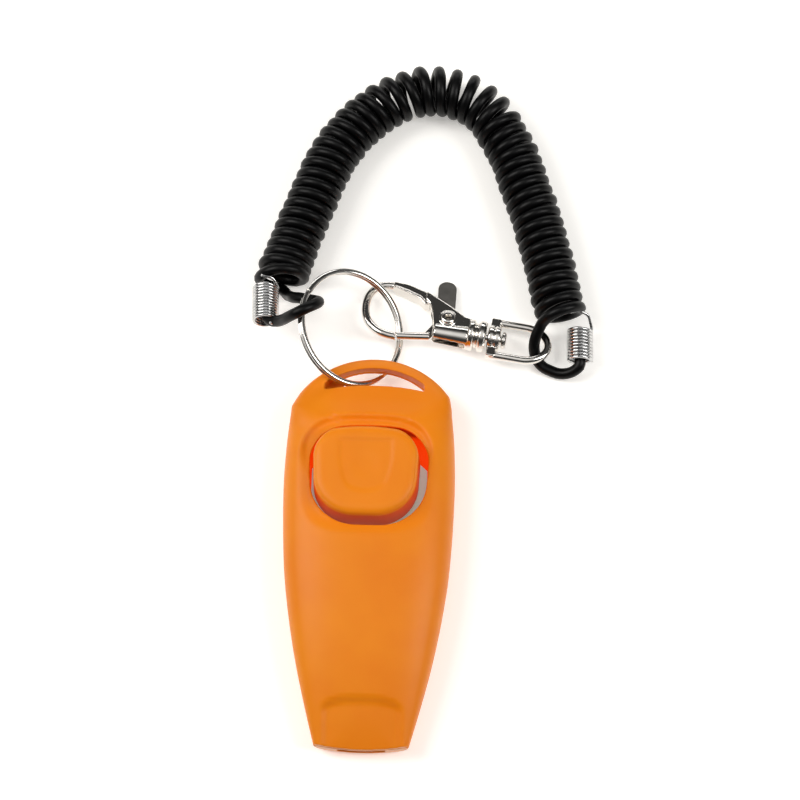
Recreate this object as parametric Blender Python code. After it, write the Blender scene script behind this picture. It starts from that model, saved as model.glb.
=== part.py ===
"""Whistle and clicker trainer with a split ring, a curly cord and a swivel lobster clasp.

The origin is on the flat back of the housing. +Y points to the lanyard arch, +Z out of the button face.
"""
from math import acos, atan2, cos, hypot, pi, radians, sin, sqrt, tan

import bmesh
import bpy
from mathutils import Euler, Matrix, Vector

MM = 0.001
GAP = 0.3 * MM

# Housing: half widths along the length, and heights of its front and back faces.
SIDE = [(-58, 9.0), (-47, 12.0), (-36.7, 14.5), (-26.4, 16.4), (-15.9, 17.7), (0, 18.4), (10.8, 18.1), (18, 17.4)]
FRONT = [(-58, 7.0), (-48, 9.6), (-36, 12.1), (-22, 13.9), (-8, 14.6), (6, 14.4), (14, 13.2), (20, 11.0), (30, 8.3)]
BACK = [(-58, 2.4), (-50, 0.8), (-40, 0.0), (14, 0.0), (20, 2.4), (25, 4.2), (30, 4.7)]
PART_Z = 5.6 * MM
SEAM = 0.12 * MM
WALL = 1.8 * MM
ARCH_CENTRE_X = 0.5 * MM
ARCH_CENTRE_Y = 10.6 * MM
ARCH_RADIUS = 19.6 * MM
ARCH_BAR = 2.6 * MM
SHOULDER_ANGLE = radians(32)
END_Y = -55.5 * MM
END_BULGE = 0.9 * MM
SPINE_FOOT_Y = -47.0 * MM

# Button and its opening.
BUTTON_CORNERS = [(11.4, 10.4), (-11.4, 10.4), (-10.5, -7.6), (10.5, -7.6)]
BUTTON_RADII = [5.0, 5.0, 8.5, 8.5]
BUTTON_BULGE = 1.5 * MM
BUTTON_X = -0.6 * MM
OPENING_MARGIN = 1.5 * MM
BUTTON_BASE_Z = 9.0 * MM
BUTTON_TOP_Z = 17.7 * MM
BOSS_RADIUS = 2.6 * MM

# Clicker leaf, held at its lower end.
LEAF_HALF_WIDTH = 12.4 * MM
LEAF_TIP_Y = 6.5 * MM
LEAF_ROOT_Y = -22.0 * MM
LEAF_HINGE_Y = -20.0 * MM
LEAF_Z = 6.8 * MM
LEAF_THICKNESS = 0.4 * MM
DIMPLE_RADIUS = 5.0 * MM
DIMPLE_HEIGHT = 0.4 * MM
BOSS_Y = 2.4 * MM
SCREW_X = 8.0 * MM
SCREW_Y = -24.4 * MM

# Whistle.
WINDWAY_HALF_WIDTH = 5.0 * MM
WINDWAY_LOW_Z = 2.8 * MM
WINDWAY_HIGH_Z = 4.5 * MM
WINDOW_Y = (-43.0 * MM, -38.5 * MM)

# Split ring.
RING_CENTRE = Vector((-5.0, 36.8, 8.4)) * MM
RING_NORMAL = Vector((0.56, -0.03, 0.83)).normalized()
RING_RADIUS = 12.7 * MM
RING_WIRE = 0.8 * MM
RING_PIVOT = Vector((-6.0, 28.5, 6.5)) * MM

# Clasp: its own frame has +X along the swivel axis to the eye and +Y to the bow of the hook.
CLASP_ORIGIN = Vector((23.2, 37.1, 3.7)) * MM
CLASP_HEADING = radians(-9)
CLASP_ROLL = radians(-13)
HOOK = [(-14.0, 7.5), (-17.5, 8.7), (-21.7, 9.3), (-24.4, 8.2), (-26.0, 5.4), (-26.0, 1.8), (-24.8, -1.1), (-22.6, -2.9),
        (-20.3, -3.6), (-18.3, -3.7)]
HOOK_RADIUS = 0.95 * MM
CLASP_ARM = [(-21.3, 9.9), (-17.5, 9.6), (-12.7, 8.1), (-12.3, 5.2), (-14.4, 6.9), (-17.2, 7.7), (-21.3, 8.5)]
CLASP_BODY = [(-13.2, 8.2), (-12.7, 8.1), (-7.8, 5.6), (-4.0, 3.3), (-2.0, 2.9), (-2.0, -3.3), (-10.4, -3.0), (-10.6, -0.2),
              (-11.1, 2.8), (-12.3, 5.2), (-13.2, 6.1)]
ARM_HALF_DEPTH = 1.25 * MM
CLASP_HALF_DEPTH = 1.8 * MM
GATE_PIVOT = Vector((-7.6, 2.0)) * MM
GATE_BAR = [(-19.0, -3.7), (-11.0, -2.2)]
GATE_BAR_RADIUS = 0.9 * MM
GATE_Z = (-0.75 * MM, 0.45 * MM)
GATE_REACH = 12.0 * MM
SWIVEL_BORE = 1.3 * MM

# Cord: the coil is one tube of its outer diameter, and the loops are plain tubes.
CORD_RADIUS = 1.25 * MM
COIL_RADIUS = 5.75 * MM
COIL_Z = 5.8
COIL = [(-20.9, 46.8), (-20.6, 50.2), (-17.5, 60.0), (-14.0, 70.0), (-10.6, 78.5), (-7.4, 83.3), (-4.0, 87.3), (1.5, 91.8),
        (7.6, 94.4), (11.0, 95.0), (14.4, 94.8), (17.8, 93.9), (21.0, 92.3), (23.5, 90.1), (25.6, 87.7), (27.2, 84.7),
        (29.8, 79.9), (31.6, 74.8), (33.0, 70.7), (34.7, 66.0), (36.0, 61.4), (37.2, 57.2), (38.6, 51.7), (39.7, 46.3),
        (41.1, 41.3)]
LOOP_RING = [(-18.7, 45.9, 5.0), (-18.8, 45.1, 5.5), (-18.8, 44.3, 7.0), (-18.1, 43.3, 8.8), (-16.8, 42.6, 10.6),
             (-14.8, 42.0, 11.7), (-12.9, 41.3, 12.8), (-12.0, 40.3, 14.9), (-12.7, 38.9, 17.1), (-14.4, 37.6, 18.3),
             (-16.4, 36.6, 18.0), (-18.2, 36.2, 16.0), (-19.7, 36.1, 13.0), (-21.4, 36.2, 10.7), (-22.9, 36.8, 9.3),
             (-23.8, 37.6, 9.0)]
LOOP_CLASP = [(39.3, 39.5, 5.8), (38.9, 38.8, 6.4), (37.9, 37.4, 6.6), (36.7, 36.2, 6.0), (35.6, 35.2, 4.7), (35.3, 34.0, 3.0),
              (35.9, 32.7, 1.6), (37.1, 31.2, 1.4), (38.8, 30.3, 1.4), (40.8, 29.6, 1.6), (43.0, 29.6, 2.3),
              (44.6, 30.3, 3.3), (45.2, 31.1, 3.8)]
FERRULE_RING = (Vector((-23.8, 38.0, 9.0)) * MM, Vector((-24.2, 46.4, 9.0)) * MM)
FERRULE_CLASP = (Vector((45.2, 31.5, 3.9)) * MM, Vector((45.1, 39.5, 3.9)) * MM)
FERRULE_RADIUS = 2.8 * MM


def clear_objects():
    for obj in list(bpy.data.objects):
        bpy.data.objects.remove(obj)


def material(name, colour, roughness, metallic=0.0):
    mat = bpy.data.materials.new(name)
    mat.use_nodes = True
    shader = mat.node_tree.nodes["Principled BSDF"]
    shader.inputs["Base Color"].default_value = (*colour, 1.0)
    shader.inputs["Roughness"].default_value = roughness
    shader.inputs["Metallic"].default_value = metallic
    return mat


def add_object(name, mesh, mat=None, parent=None):
    obj = bpy.data.objects.new(name, mesh)
    bpy.context.collection.objects.link(obj)
    if mat:
        mesh.materials.append(mat)
    obj.parent = parent
    return obj


def mesh_object(name, points, faces, mat=None, parent=None, smooth=radians(35)):
    mesh = bpy.data.meshes.new(name)
    mesh.from_pydata([tuple(p) for p in points], [], faces)
    bm = bmesh.new()
    bm.from_mesh(mesh)
    bmesh.ops.remove_doubles(bm, verts=bm.verts, dist=1e-7)
    bmesh.ops.recalc_face_normals(bm, faces=bm.faces)
    bm.to_mesh(mesh)
    bm.free()
    mesh.shade_smooth()
    mesh.set_sharp_from_angle(angle=smooth)
    return add_object(name, mesh, mat, parent)


def hide_tool(obj):
    obj.hide_render = True
    obj.display_type = "WIRE"
    return obj


def combine(obj, tool, operation):
    modifier = obj.modifiers.new(operation.title(), "BOOLEAN")
    modifier.operation = operation
    modifier.solver = "EXACT"
    modifier.object = hide_tool(tool)


def spline(table, y):
    """A smooth value at y through the pairs of the table, both in millimetres."""
    y = min(max(y, table[0][0]), table[-1][0])
    k = next(i for i in range(len(table) - 1) if y <= table[i + 1][0])
    y0, v0 = table[k]
    y1, v1 = table[k + 1]
    slope = (v1 - v0) / (y1 - y0)
    before = slope if k == 0 else (v1 - table[k - 1][1]) / (y1 - table[k - 1][0])
    after = slope if k == len(table) - 2 else (table[k + 2][1] - v0) / (table[k + 2][0] - y0)
    t = (y - y0) / (y1 - y0)
    h = y1 - y0
    return ((2 * t**3 - 3 * t**2 + 1) * v0 + (t**3 - 2 * t**2 + t) * h * before
            + (-2 * t**3 + 3 * t**2) * v1 + (t**3 - t**2) * h * after)


def profile(table, y):
    return spline(table, y / MM) * MM


def smoothstep(t):
    t = min(max(t, 0.0), 1.0)
    return t * t * (3 - 2 * t)


def housing_outline(inset, top_radius, foot_y, side_steps=16, arc_steps=20):
    """The outline seen from the front, anticlockwise from the lower right corner."""
    shoulder_y = ARCH_CENTRE_Y + (ARCH_RADIUS * sin(SHOULDER_ANGLE)) - 2.4 * MM
    right = []
    for i in range(side_steps + 1):
        y = foot_y + (shoulder_y - foot_y) * i / side_steps
        right.append((profile(SIDE, y) - inset, y))
    half_width = right[-1][0]
    start = SHOULDER_ANGLE
    arc = []
    for i in range(1, arc_steps):
        angle = start + (pi - 2 * start) * i / arc_steps
        x = ARCH_CENTRE_X + top_radius * cos(angle)
        y = ARCH_CENTRE_Y + top_radius * sin(angle)
        arc.append((max(-half_width, min(half_width, x)), y))
    left = [(-x, y) for x, y in reversed(right)]
    foot = [(x * (profile(SIDE, foot_y) - inset), foot_y) for x in (-0.5, 0.0, 0.5)]
    return right + arc + left + foot


def dome(name, side, inset, top_radius, foot_y, base_z, mat=None, parent=None):
    """A domed half of the housing, closed by a flat base; side is 1 for the front and -1 for the back."""
    outline = housing_outline(inset, top_radius, foot_y)
    count = len(outline)
    fractions = (0.0, 0.012, 0.04, 0.09, 0.16, 0.26, 0.4, 0.62, 1.0)
    points = [(x, y, base_z) for x, y in outline]
    for fraction in fractions:
        for x0, y0 in outline:
            spine_y = min(max(y0, SPINE_FOOT_Y), ARCH_CENTRE_Y)
            x = x0 * (1 - fraction)
            y = y0 + (spine_y - y0) * fraction
            height = face_height(y, fraction, side, inset)
            points.append((x, y, max(height, base_z) if side > 0 else min(height, base_z)))
    faces = [tuple(reversed(range(count)))]
    for ring in range(len(fractions)):
        for i in range(count):
            j = (i + 1) % count
            low, high = ring * count, (ring + 1) * count
            faces.append((low + i, low + j, high + j, high + i))
    return mesh_object(name, points, faces, mat, parent)


def face_height(y, fraction, side, inset):
    roundness = 3.0 + 2.5 * smoothstep((y / MM - 12) / 10)
    swell = (1 - (1 - fraction) ** roundness) ** (1 / roundness)
    if side > 0:
        return PART_Z + (profile(FRONT, y) - inset - PART_Z) * swell
    floor = max(0.0, profile(BACK, y)) + inset
    depth = PART_Z - floor
    return max(floor, PART_Z - (depth + 0.3 * MM) * (1 - (1 - fraction) ** 5) ** 0.2)


def rounded_outline(corners, radii, margin=0.0, steps=6, bulge=0.0):
    """A closed outline with filleted corners, in metres; the corners are in millimetres."""
    points = [Vector(c) * MM for c in corners]
    outline = []
    for k, corner in enumerate(points):
        before = (points[k - 1] - corner).normalized()
        after = (points[(k + 1) % len(points)] - corner).normalized()
        half = acos(max(-1.0, min(1.0, before.dot(after)))) / 2
        radius = radii[k] * MM
        middle = corner + (before + after).normalized() * (radius / sin(half))
        start = corner + before * (radius / tan(half)) - middle
        turn = pi - 2 * half
        for i in range(steps + 1):
            angle = turn * i / steps
            arm = Matrix.Rotation(angle, 2) @ start
            outline.append(middle + arm * ((radius + margin) / radius))
    if bulge:
        widest = max(p.x for p in outline)
        for p in outline:
            if p.y > 0:
                p.y += bulge * (1 - (p.x / widest) ** 2)
    return outline


def prism(name, outline, low, high, mat=None, parent=None):
    count = len(outline)
    points = [(p[0], p[1], low) for p in outline] + [(p[0], p[1], high) for p in outline]
    faces = [tuple(reversed(range(count))), tuple(range(count, 2 * count))]
    for i in range(count):
        j = (i + 1) % count
        faces.append((i, j, count + j, count + i))
    return mesh_object(name, points, faces, mat, parent)


def block(name, x, y, z, mat=None, parent=None):
    return prism(name, [(x[0], y[0]), (x[1], y[0]), (x[1], y[1]), (x[0], y[1])], z[0], z[1], mat, parent)


def rod(name, start, end, radius, sides=20, mat=None, parent=None):
    """A straight round bar from start to end."""
    start, end = Vector(start), Vector(end)
    turn = (end - start).to_track_quat("Z", "Y")
    outline = [(radius * cos(2 * pi * i / sides), radius * sin(2 * pi * i / sides)) for i in range(sides)]
    obj = prism(name, outline, 0.0, (end - start).length, mat, parent)
    obj.data.transform(Matrix.Translation(start) @ turn.to_matrix().to_4x4())
    return obj


def smooth_path(points, step):
    """Points about a step apart on a Catmull-Rom curve through the given points."""
    pts = [Vector(p) for p in points]
    ends = [pts[0] * 2 - pts[1]] + pts + [pts[-1] * 2 - pts[-2]]
    out = []
    for k in range(1, len(ends) - 2):
        p0, p1, p2, p3 = ends[k - 1:k + 3]
        pieces = max(1, round((p2 - p1).length / step))
        for i in range(pieces):
            t = i / pieces
            out.append(0.5 * (2 * p1 + (p2 - p0) * t + (2 * p0 - 5 * p1 + 4 * p2 - p3) * t**2
                              + (3 * p1 - p0 - 3 * p2 + p3) * t**3))
    return out + [pts[-1]]


def swept(name, path, radius, sides, mat=None, parent=None, closed=False):
    """A round bar along a path, with its rings carried along without twist."""
    count = len(path)
    tangents = []
    for i in range(count):
        ahead = path[(i + 1) % count] if closed or i < count - 1 else path[i]
        behind = path[i - 1] if closed or i > 0 else path[i]
        tangents.append((ahead - behind).normalized())
    normal = tangents[0].orthogonal().normalized()
    points = []
    for i in range(count):
        if i:
            normal = tangents[i - 1].rotation_difference(tangents[i]) @ normal
        side = tangents[i].cross(normal)
        for j in range(sides):
            angle = 2 * pi * j / sides
            points.append(path[i] + (normal * cos(angle) + side * sin(angle)) * radius)
    faces = []
    for i in range(count if closed else count - 1):
        for j in range(sides):
            a, b = i * sides, ((i + 1) % count) * sides
            k = (j + 1) % sides
            faces.append((a + j, a + k, b + k, b + j))
    if not closed:
        faces.append(tuple(reversed(range(sides))))
        faces.append(tuple(range((count - 1) * sides, count * sides)))
    return mesh_object(name, points, faces, mat, parent, smooth=radians(60))


def curve_tube(name, points, radius, resolution, mat):
    curve = bpy.data.curves.new(name, "CURVE")
    curve.dimensions = "3D"
    curve.bevel_depth = radius
    curve.bevel_resolution = resolution
    curve.use_fill_caps = True
    line = curve.splines.new("POLY")
    line.points.add(len(points) - 1)
    for target, point in zip(line.points, points):
        target.co = (*point, 1.0)
    curve.materials.append(mat)
    obj = bpy.data.objects.new(name, curve)
    bpy.context.collection.objects.link(obj)
    return obj


def empty(name, location, rotation=(0.0, 0.0, 0.0), parent=None):
    obj = bpy.data.objects.new(name, None)
    bpy.context.collection.objects.link(obj)
    obj.location = location
    obj.rotation_euler = rotation
    obj.parent = parent
    return obj


def arch_slot():
    """The crescent between the arch and the housing, as an outline."""
    inner = ARCH_RADIUS - ARCH_BAR
    half = 10.8 * MM
    steps = 14
    top = []
    bottom = []
    for i in range(steps + 1):
        x = half * (1 - 2 * i / steps)
        top.append((ARCH_CENTRE_X + x, ARCH_CENTRE_Y + sqrt(inner**2 - x**2)))
        bottom.append((ARCH_CENTRE_X - x, 23.2 * MM - 1.2 * MM * (x / half) ** 2))
    return top + bottom


def mouth_end_cutter(name):
    half = 16 * MM
    steps = 12
    edge = []
    for i in range(steps + 1):
        x = half * (2 * i / steps - 1)
        edge.append((x, END_Y + END_BULGE * (x / (10 * MM)) ** 2))
    return prism(name, [(-half, -70 * MM), (half, -70 * MM)] + list(reversed(edge)), -5 * MM, 20 * MM)


def mouth_recess():
    """A shallow step that the upper lip rests on; its floor follows the slope of the front face."""
    outline = [(8.4, -62.0), (8.4, -46.4), (5.0, -45.4), (0.0, -44.8), (-5.0, -45.4), (-8.4, -46.4), (-8.4, -62.0)]
    tool = prism("mouth_recess", [(x * MM, y * MM) for x, y in outline], 0.0, 8 * MM)
    slope = atan2(profile(FRONT, -46 * MM) - profile(FRONT, -55 * MM), 9 * MM)
    hinge = Vector((0, -46 * MM, 0))
    tool.data.transform(Matrix.Translation(-hinge))
    tool.data.transform(Matrix.Rotation(slope, 4, "X"))
    tool.data.transform(Matrix.Translation((0, hinge.y, profile(FRONT, hinge.y) - 0.7 * MM)))
    return tool


def front_shell(mat):
    shell = dome("front_shell", 1, 0.0, ARCH_RADIUS, -58 * MM, PART_Z + SEAM, mat)
    cavity = dome("front_cavity", 1, WALL, 9.4 * MM, -51.5 * MM, PART_Z - MM)
    combine(shell, cavity, "DIFFERENCE")
    opening = rounded_outline(BUTTON_CORNERS, BUTTON_RADII, OPENING_MARGIN, bulge=BUTTON_BULGE)
    combine(shell, prism("button_opening", opening, PART_Z - MM, 20 * MM), "DIFFERENCE")
    combine(shell, prism("front_slot", arch_slot(), -5 * MM, 20 * MM), "DIFFERENCE")
    combine(shell, mouth_end_cutter("front_end"), "DIFFERENCE")
    combine(shell, mouth_recess(), "DIFFERENCE")
    return shell


def rear_shell(mat):
    """The back half, with the windway, the whistle window and the seat of the leaf on two posts."""
    shell = dome("rear_shell", -1, 0.0, ARCH_RADIUS, -58 * MM, PART_Z - SEAM, mat)
    cavity = dome("rear_cavity", -1, WALL, 9.4 * MM, -51.5 * MM, PART_Z + MM)
    combine(shell, cavity, "DIFFERENCE")
    seat_z = LEAF_Z - GAP
    seat = block("leaf_seat", (-12 * MM, 12 * MM), (-27 * MM, -20.6 * MM), (seat_z - 1.4 * MM, seat_z))
    combine(shell, seat, "UNION")
    for side in (-1, 1):
        post_foot = (side * SCREW_X, SCREW_Y, 1.2 * MM)
        post_head = (side * SCREW_X, SCREW_Y, seat_z - 0.4 * MM)
        combine(shell, rod(f"post_{side}", post_foot, post_head, 2.4 * MM), "UNION")
    for side in (-1, 1):
        hole_foot = (side * SCREW_X, SCREW_Y, 2.4 * MM)
        hole_head = (side * SCREW_X, SCREW_Y, 9 * MM)
        combine(shell, rod(f"post_hole_{side}", hole_foot, hole_head, 1.3 * MM, 14), "DIFFERENCE")
    half = WINDWAY_HALF_WIDTH
    windway = block("windway", (-half, half), (-58 * MM, -50 * MM), (WINDWAY_LOW_Z, WINDWAY_HIGH_Z))
    combine(shell, windway, "DIFFERENCE")
    combine(shell, block("window", (-half, half), WINDOW_Y, (-2 * MM, 4 * MM)), "DIFFERENCE")
    combine(shell, prism("rear_slot", arch_slot(), -5 * MM, 20 * MM), "DIFFERENCE")
    combine(shell, mouth_end_cutter("rear_end"), "DIFFERENCE")
    return shell


def whistle_block(mat):
    """A channel-shaped insert that roofs the windway, with a sloped edge over the window."""
    low, high = 3.4 * MM, 6.0 * MM
    insert = block("whistle_block", (-6.2 * MM, 6.2 * MM), (-51.0 * MM, -43.2 * MM), (low, high), mat)
    channel = (WINDWAY_LOW_Z - MM, WINDWAY_HIGH_Z)
    combine(insert, block("channel", (-5 * MM, 5 * MM), (-60 * MM, -40 * MM), channel), "DIFFERENCE")
    return insert


def leaf(mat):
    """Spring sheet with a raised dimple under the button and clipped upper corners."""
    columns, rows = 16, 18
    points = []
    for layer in (0, 1):
        for r in range(rows + 1):
            y = LEAF_ROOT_Y + (LEAF_TIP_Y - LEAF_ROOT_Y) * r / rows
            narrowing = max(0.0, y - (LEAF_TIP_Y - 1.6 * MM)) * 1.1
            for c in range(columns + 1):
                x = (LEAF_HALF_WIDTH - narrowing) * (2 * c / columns - 1)
                reach = hypot(x, y - BOSS_Y) / DIMPLE_RADIUS
                rise = DIMPLE_HEIGHT * smoothstep(1.4 - reach)
                points.append((x, y, LEAF_Z + layer * LEAF_THICKNESS + rise))
    width = columns + 1
    top = width * (rows + 1)
    faces = []
    for r in range(rows):
        for c in range(columns):
            a = r * width + c
            faces.append((a, a + width, a + width + 1, a + 1))
            faces.append((top + a, top + a + 1, top + a + width + 1, top + a + width))
    rim = [c for c in range(columns)] + [r * width + columns for r in range(rows)]
    rim += [rows * width + c for c in range(columns, 0, -1)] + [r * width for r in range(rows, 0, -1)]
    for i, a in enumerate(rim):
        b = rim[(i + 1) % len(rim)]
        faces.append((a, b, top + b, top + a))
    pivot = Vector((0, LEAF_HINGE_Y, LEAF_Z))
    obj = mesh_object("clicker_leaf", [Vector(p) - pivot for p in points], faces, mat)
    obj.location = pivot
    return obj


def leaf_clamp(mat):
    low = LEAF_Z + LEAF_THICKNESS + GAP
    clamp = block("leaf_clamp", (-11.6 * MM, 11.6 * MM), (-27 * MM, -20.6 * MM), (low, low + 1.3 * MM), mat)
    for side in (-1, 1):
        foot = (side * SCREW_X, SCREW_Y, low - MM)
        head = (side * SCREW_X, SCREW_Y, low + 3 * MM)
        combine(clamp, rod(f"clamp_hole_{side}", foot, head, 1.3 * MM, 14), "DIFFERENCE")
    return clamp


def leaf_screw(name, x, mat):
    """A pan head screw, its recess a plain cross."""
    head_z = LEAF_Z + LEAF_THICKNESS + 2 * GAP + 1.3 * MM
    screw = rod(name, (x, SCREW_Y, 2.8 * MM), (x, SCREW_Y, head_z + 0.2 * MM), 0.95 * MM, 14, mat)
    head = rod(name + "_head", (x, SCREW_Y, head_z), (x, SCREW_Y, head_z + 1.0 * MM), 1.9 * MM, 18)
    combine(screw, head, "UNION")
    cross_z = (head_z + 0.5 * MM, head_z + 3 * MM)
    long_arm, short_arm = 1.2 * MM, 0.25 * MM
    for k, (dx, dy) in enumerate([(long_arm, short_arm), (short_arm, long_arm)]):
        arm = block(f"{name}_cross_{k}", (x - dx, x + dx), (SCREW_Y - dy, SCREW_Y + dy), cross_z)
        combine(screw, arm, "DIFFERENCE")
    return screw


def button(mat):
    """A cap with a rounded rim, a boss that presses the leaf and a lug under the top edge of the opening."""
    levels = [(BUTTON_BASE_Z, 0.7 * MM), (BUTTON_TOP_Z - 1.5 * MM, 0.0), (BUTTON_TOP_Z - 0.8 * MM, -0.2 * MM),
              (BUTTON_TOP_Z - 0.3 * MM, -0.7 * MM), (BUTTON_TOP_Z, -1.7 * MM)]
    points = []
    for z, margin in levels:
        outline = rounded_outline(BUTTON_CORNERS, BUTTON_RADII, margin, bulge=BUTTON_BULGE)
        points += [(p.x, p.y, z) for p in outline]
    count = len(outline)
    faces = [tuple(reversed(range(count))), tuple(range((len(levels) - 1) * count, len(levels) * count))]
    for ring in range(len(levels) - 1):
        for i in range(count):
            j = (i + 1) % count
            low, high = ring * count, (ring + 1) * count
            faces.append((low + i, low + j, high + j, high + i))
    cap = mesh_object("button", points, faces, mat)
    hollow = rounded_outline(BUTTON_CORNERS, BUTTON_RADII, -1.6 * MM)
    combine(cap, prism("button_hollow", hollow, BUTTON_BASE_Z - MM, BUTTON_TOP_Z - 2.0 * MM), "DIFFERENCE")
    boss_low = LEAF_Z + LEAF_THICKNESS + DIMPLE_HEIGHT + GAP
    boss = rod("button_boss", (0, BOSS_Y, boss_low), (0, BOSS_Y, BUTTON_TOP_Z - MM), BOSS_RADIUS)
    combine(cap, boss, "UNION")
    lug = block("button_lug", (-4.0 * MM, 4.0 * MM), (11.4 * MM, 14.2 * MM), (BUTTON_BASE_Z, 10.0 * MM))
    combine(cap, lug, "UNION")
    cap.location.x = BUTTON_X
    return cap


def split_ring(mat):
    turn = RING_NORMAL.to_track_quat("Z", "Y")
    steps = 64
    path = []
    for i in range(steps):
        angle = 2 * pi * i / steps
        path.append(RING_CENTRE - RING_PIVOT + turn @ Vector((cos(angle), sin(angle), 0)) * RING_RADIUS)
    ring = swept("split_ring", path, RING_WIRE, 10, mat, closed=True)
    ring.location = RING_PIVOT
    return ring


def tip_cutter(frame):
    """The space that the gate's end sweeps, which trims the tip of the hook to an arc about the pivot."""
    px, py = GATE_PIVOT
    outline = [(px - 9 * MM, py - 4.5 * MM), (px - 8 * MM, py - 7 * MM)]
    reach = GATE_REACH + GAP
    for degrees in range(220, 196, -4):
        angle = radians(degrees)
        outline.append((px + reach * cos(angle), py + reach * sin(angle)))
    return prism("hook_tip_cut", list(reversed(outline)), -2 * MM, 2 * MM, parent=frame)


def clasp_body(mat, frame):
    """Hook, forked body and collar in one casting, with a slot for the gate and a bore for the swivel rivet."""
    hook = smooth_path([Vector((x, y, 0)) * MM for x, y in HOOK], 1.0 * MM)
    body = swept("clasp_body", hook, HOOK_RADIUS, 12, mat, frame)
    depth = CLASP_HALF_DEPTH
    plan = [(x * MM, y * MM) for x, y in CLASP_BODY]
    combine(body, prism("clasp_block", plan, -depth, depth, parent=frame), "UNION")
    arm = [(x * MM, y * MM) for x, y in CLASP_ARM]
    combine(body, prism("clasp_arm", arm, -ARM_HALF_DEPTH, ARM_HALF_DEPTH, parent=frame), "UNION")
    combine(body, rod("clasp_collar", (-2.6 * MM, 0, 0), (1.3 * MM, 0, 0), 3.5 * MM, 28, parent=frame), "UNION")
    slot = block("lever_slot", (-11.6 * MM, -4.4 * MM), (-2.4 * MM, 12 * MM), (-1.05 * MM, 1.3 * MM), parent=frame)
    combine(body, slot, "DIFFERENCE")
    combine(body, tip_cutter(frame), "DIFFERENCE")
    pin_low = (*GATE_PIVOT, -4 * MM)
    pin_high = (*GATE_PIVOT, 4 * MM)
    combine(body, rod("pin_hole", pin_low, pin_high, 1.1 * MM, 16, parent=frame), "DIFFERENCE")
    combine(body, rod("bore", (-1.5 * MM, 0, 0), (4 * MM, 0, 0), SWIVEL_BORE, 18, parent=frame), "DIFFERENCE")
    return body


def clasp_gate(mat, frame):
    """Round gate bar, a web to the hub and the thumb tab, all turning on the pivot pin."""
    px, py = GATE_PIVOT
    start, end = [(x * MM - px, y * MM - py, 0) for x, y in GATE_BAR]
    gate = rod("clasp_gate", start, end, GATE_BAR_RADIUS, 12, mat, frame)
    gate.location = (px, py, 0)
    pivot = empty("gate_tools", (px, py, 0), parent=frame)
    web = [(-4.2, -4.9), (-3.4, -4.7), (-2.9, -3.8), (1.9, -1.6), (1.9, 1.4), (0.4, 3.0), (-1.4, 3.0), (-2.2, 0.6), (-4.4, -3.4)]
    combine(gate, prism("gate_web", [(x * MM, y * MM) for x, y in web], *GATE_Z, parent=pivot), "UNION")
    tab = [(-2.4, 1.6), (1.4, 1.6), (0.9, 4.1), (-0.3, 9.2), (-1.0, 10.2), (-2.3, 10.6), (-3.6, 10.1), (-4.2, 8.9), (-3.3, 5.2)]
    combine(gate, prism("gate_tab", [(x * MM, y * MM) for x, y in tab], *GATE_Z, parent=pivot), "UNION")
    combine(gate, rod("gate_reach", (0, 0, -3 * MM), (0, 0, 3 * MM), GATE_REACH, 96, parent=pivot), "INTERSECT")
    combine(gate, rod("gate_hole", (0, 0, -3 * MM), (0, 0, 3 * MM), 1.1 * MM, 16, parent=pivot), "DIFFERENCE")
    return gate


def gate_pin(mat, frame):
    """A hollow rivet: shank through the fork and a flat head on each side."""
    px, py = GATE_PIVOT
    face = CLASP_HALF_DEPTH + 0.2 * MM
    pin = rod("gate_pin", (0, 0, -face - 0.5 * MM), (0, 0, face + 0.5 * MM), 0.8 * MM, 16, mat, frame)
    pin.location = (px, py, 0)
    place = empty("pin_tools", (px, py, 0), parent=frame)
    for side in (-1, 1):
        head = rod(f"pin_head_{side}", (0, 0, side * face), (0, 0, side * (face + 0.5 * MM)), 1.5 * MM, 20, parent=place)
        combine(pin, head, "UNION")
    combine(pin, rod("pin_bore", (0, 0, -5 * MM), (0, 0, 5 * MM), 0.4 * MM, 10, parent=place), "DIFFERENCE")
    return pin


def gate_spring(mat, frame):
    """A small torsion spring round the pin beside the gate's hub."""
    turns, steps = 1.15, 12
    path = []
    for i in range(int(turns * steps) + 1):
        angle = 2 * pi * i / steps
        path.append(Vector((1.25 * cos(angle), 1.25 * sin(angle), 0.72 + 0.35 * angle / (2 * pi) / turns)) * MM)
    spring = swept("gate_spring", path, 0.12 * MM, 6, mat, frame)
    spring.location = (*GATE_PIVOT, 0)
    return spring


def swivel_eye(mat, frame):
    """The bow that the cord's loop holds, cast with the round barrel that turns on the swivel rivet."""
    low, high, straight_end = 3.0, 4.2, 9.6
    route = [Vector((low, high, 0)), Vector((6.0, high, 0))]
    for i in range(9):
        angle = pi / 2 - pi * i / 8
        route.append(Vector((straight_end + 5.5 * cos(angle), high * sin(angle), 0)))
    route += [Vector((6.0, -high, 0)), Vector((low, -high, 0))]
    path = smooth_path([p * MM for p in route], 1.3 * MM)
    eye = swept("swivel_eye", path, 0.9 * MM, 10, mat, frame)
    bridge = block("eye_bridge", (1.9 * MM, 3.9 * MM), (-4.7 * MM, 4.7 * MM), (-0.9 * MM, 0.9 * MM), parent=frame)
    combine(eye, bridge, "UNION")
    combine(eye, rod("eye_barrel", (1.7 * MM, 0, 0), (4.5 * MM, 0, 0), 2.8 * MM, 24, parent=frame), "UNION")
    combine(eye, rod("eye_bore", (-1 * MM, 0, 0), (7 * MM, 0, 0), SWIVEL_BORE, 18, parent=frame), "DIFFERENCE")
    return eye


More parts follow.
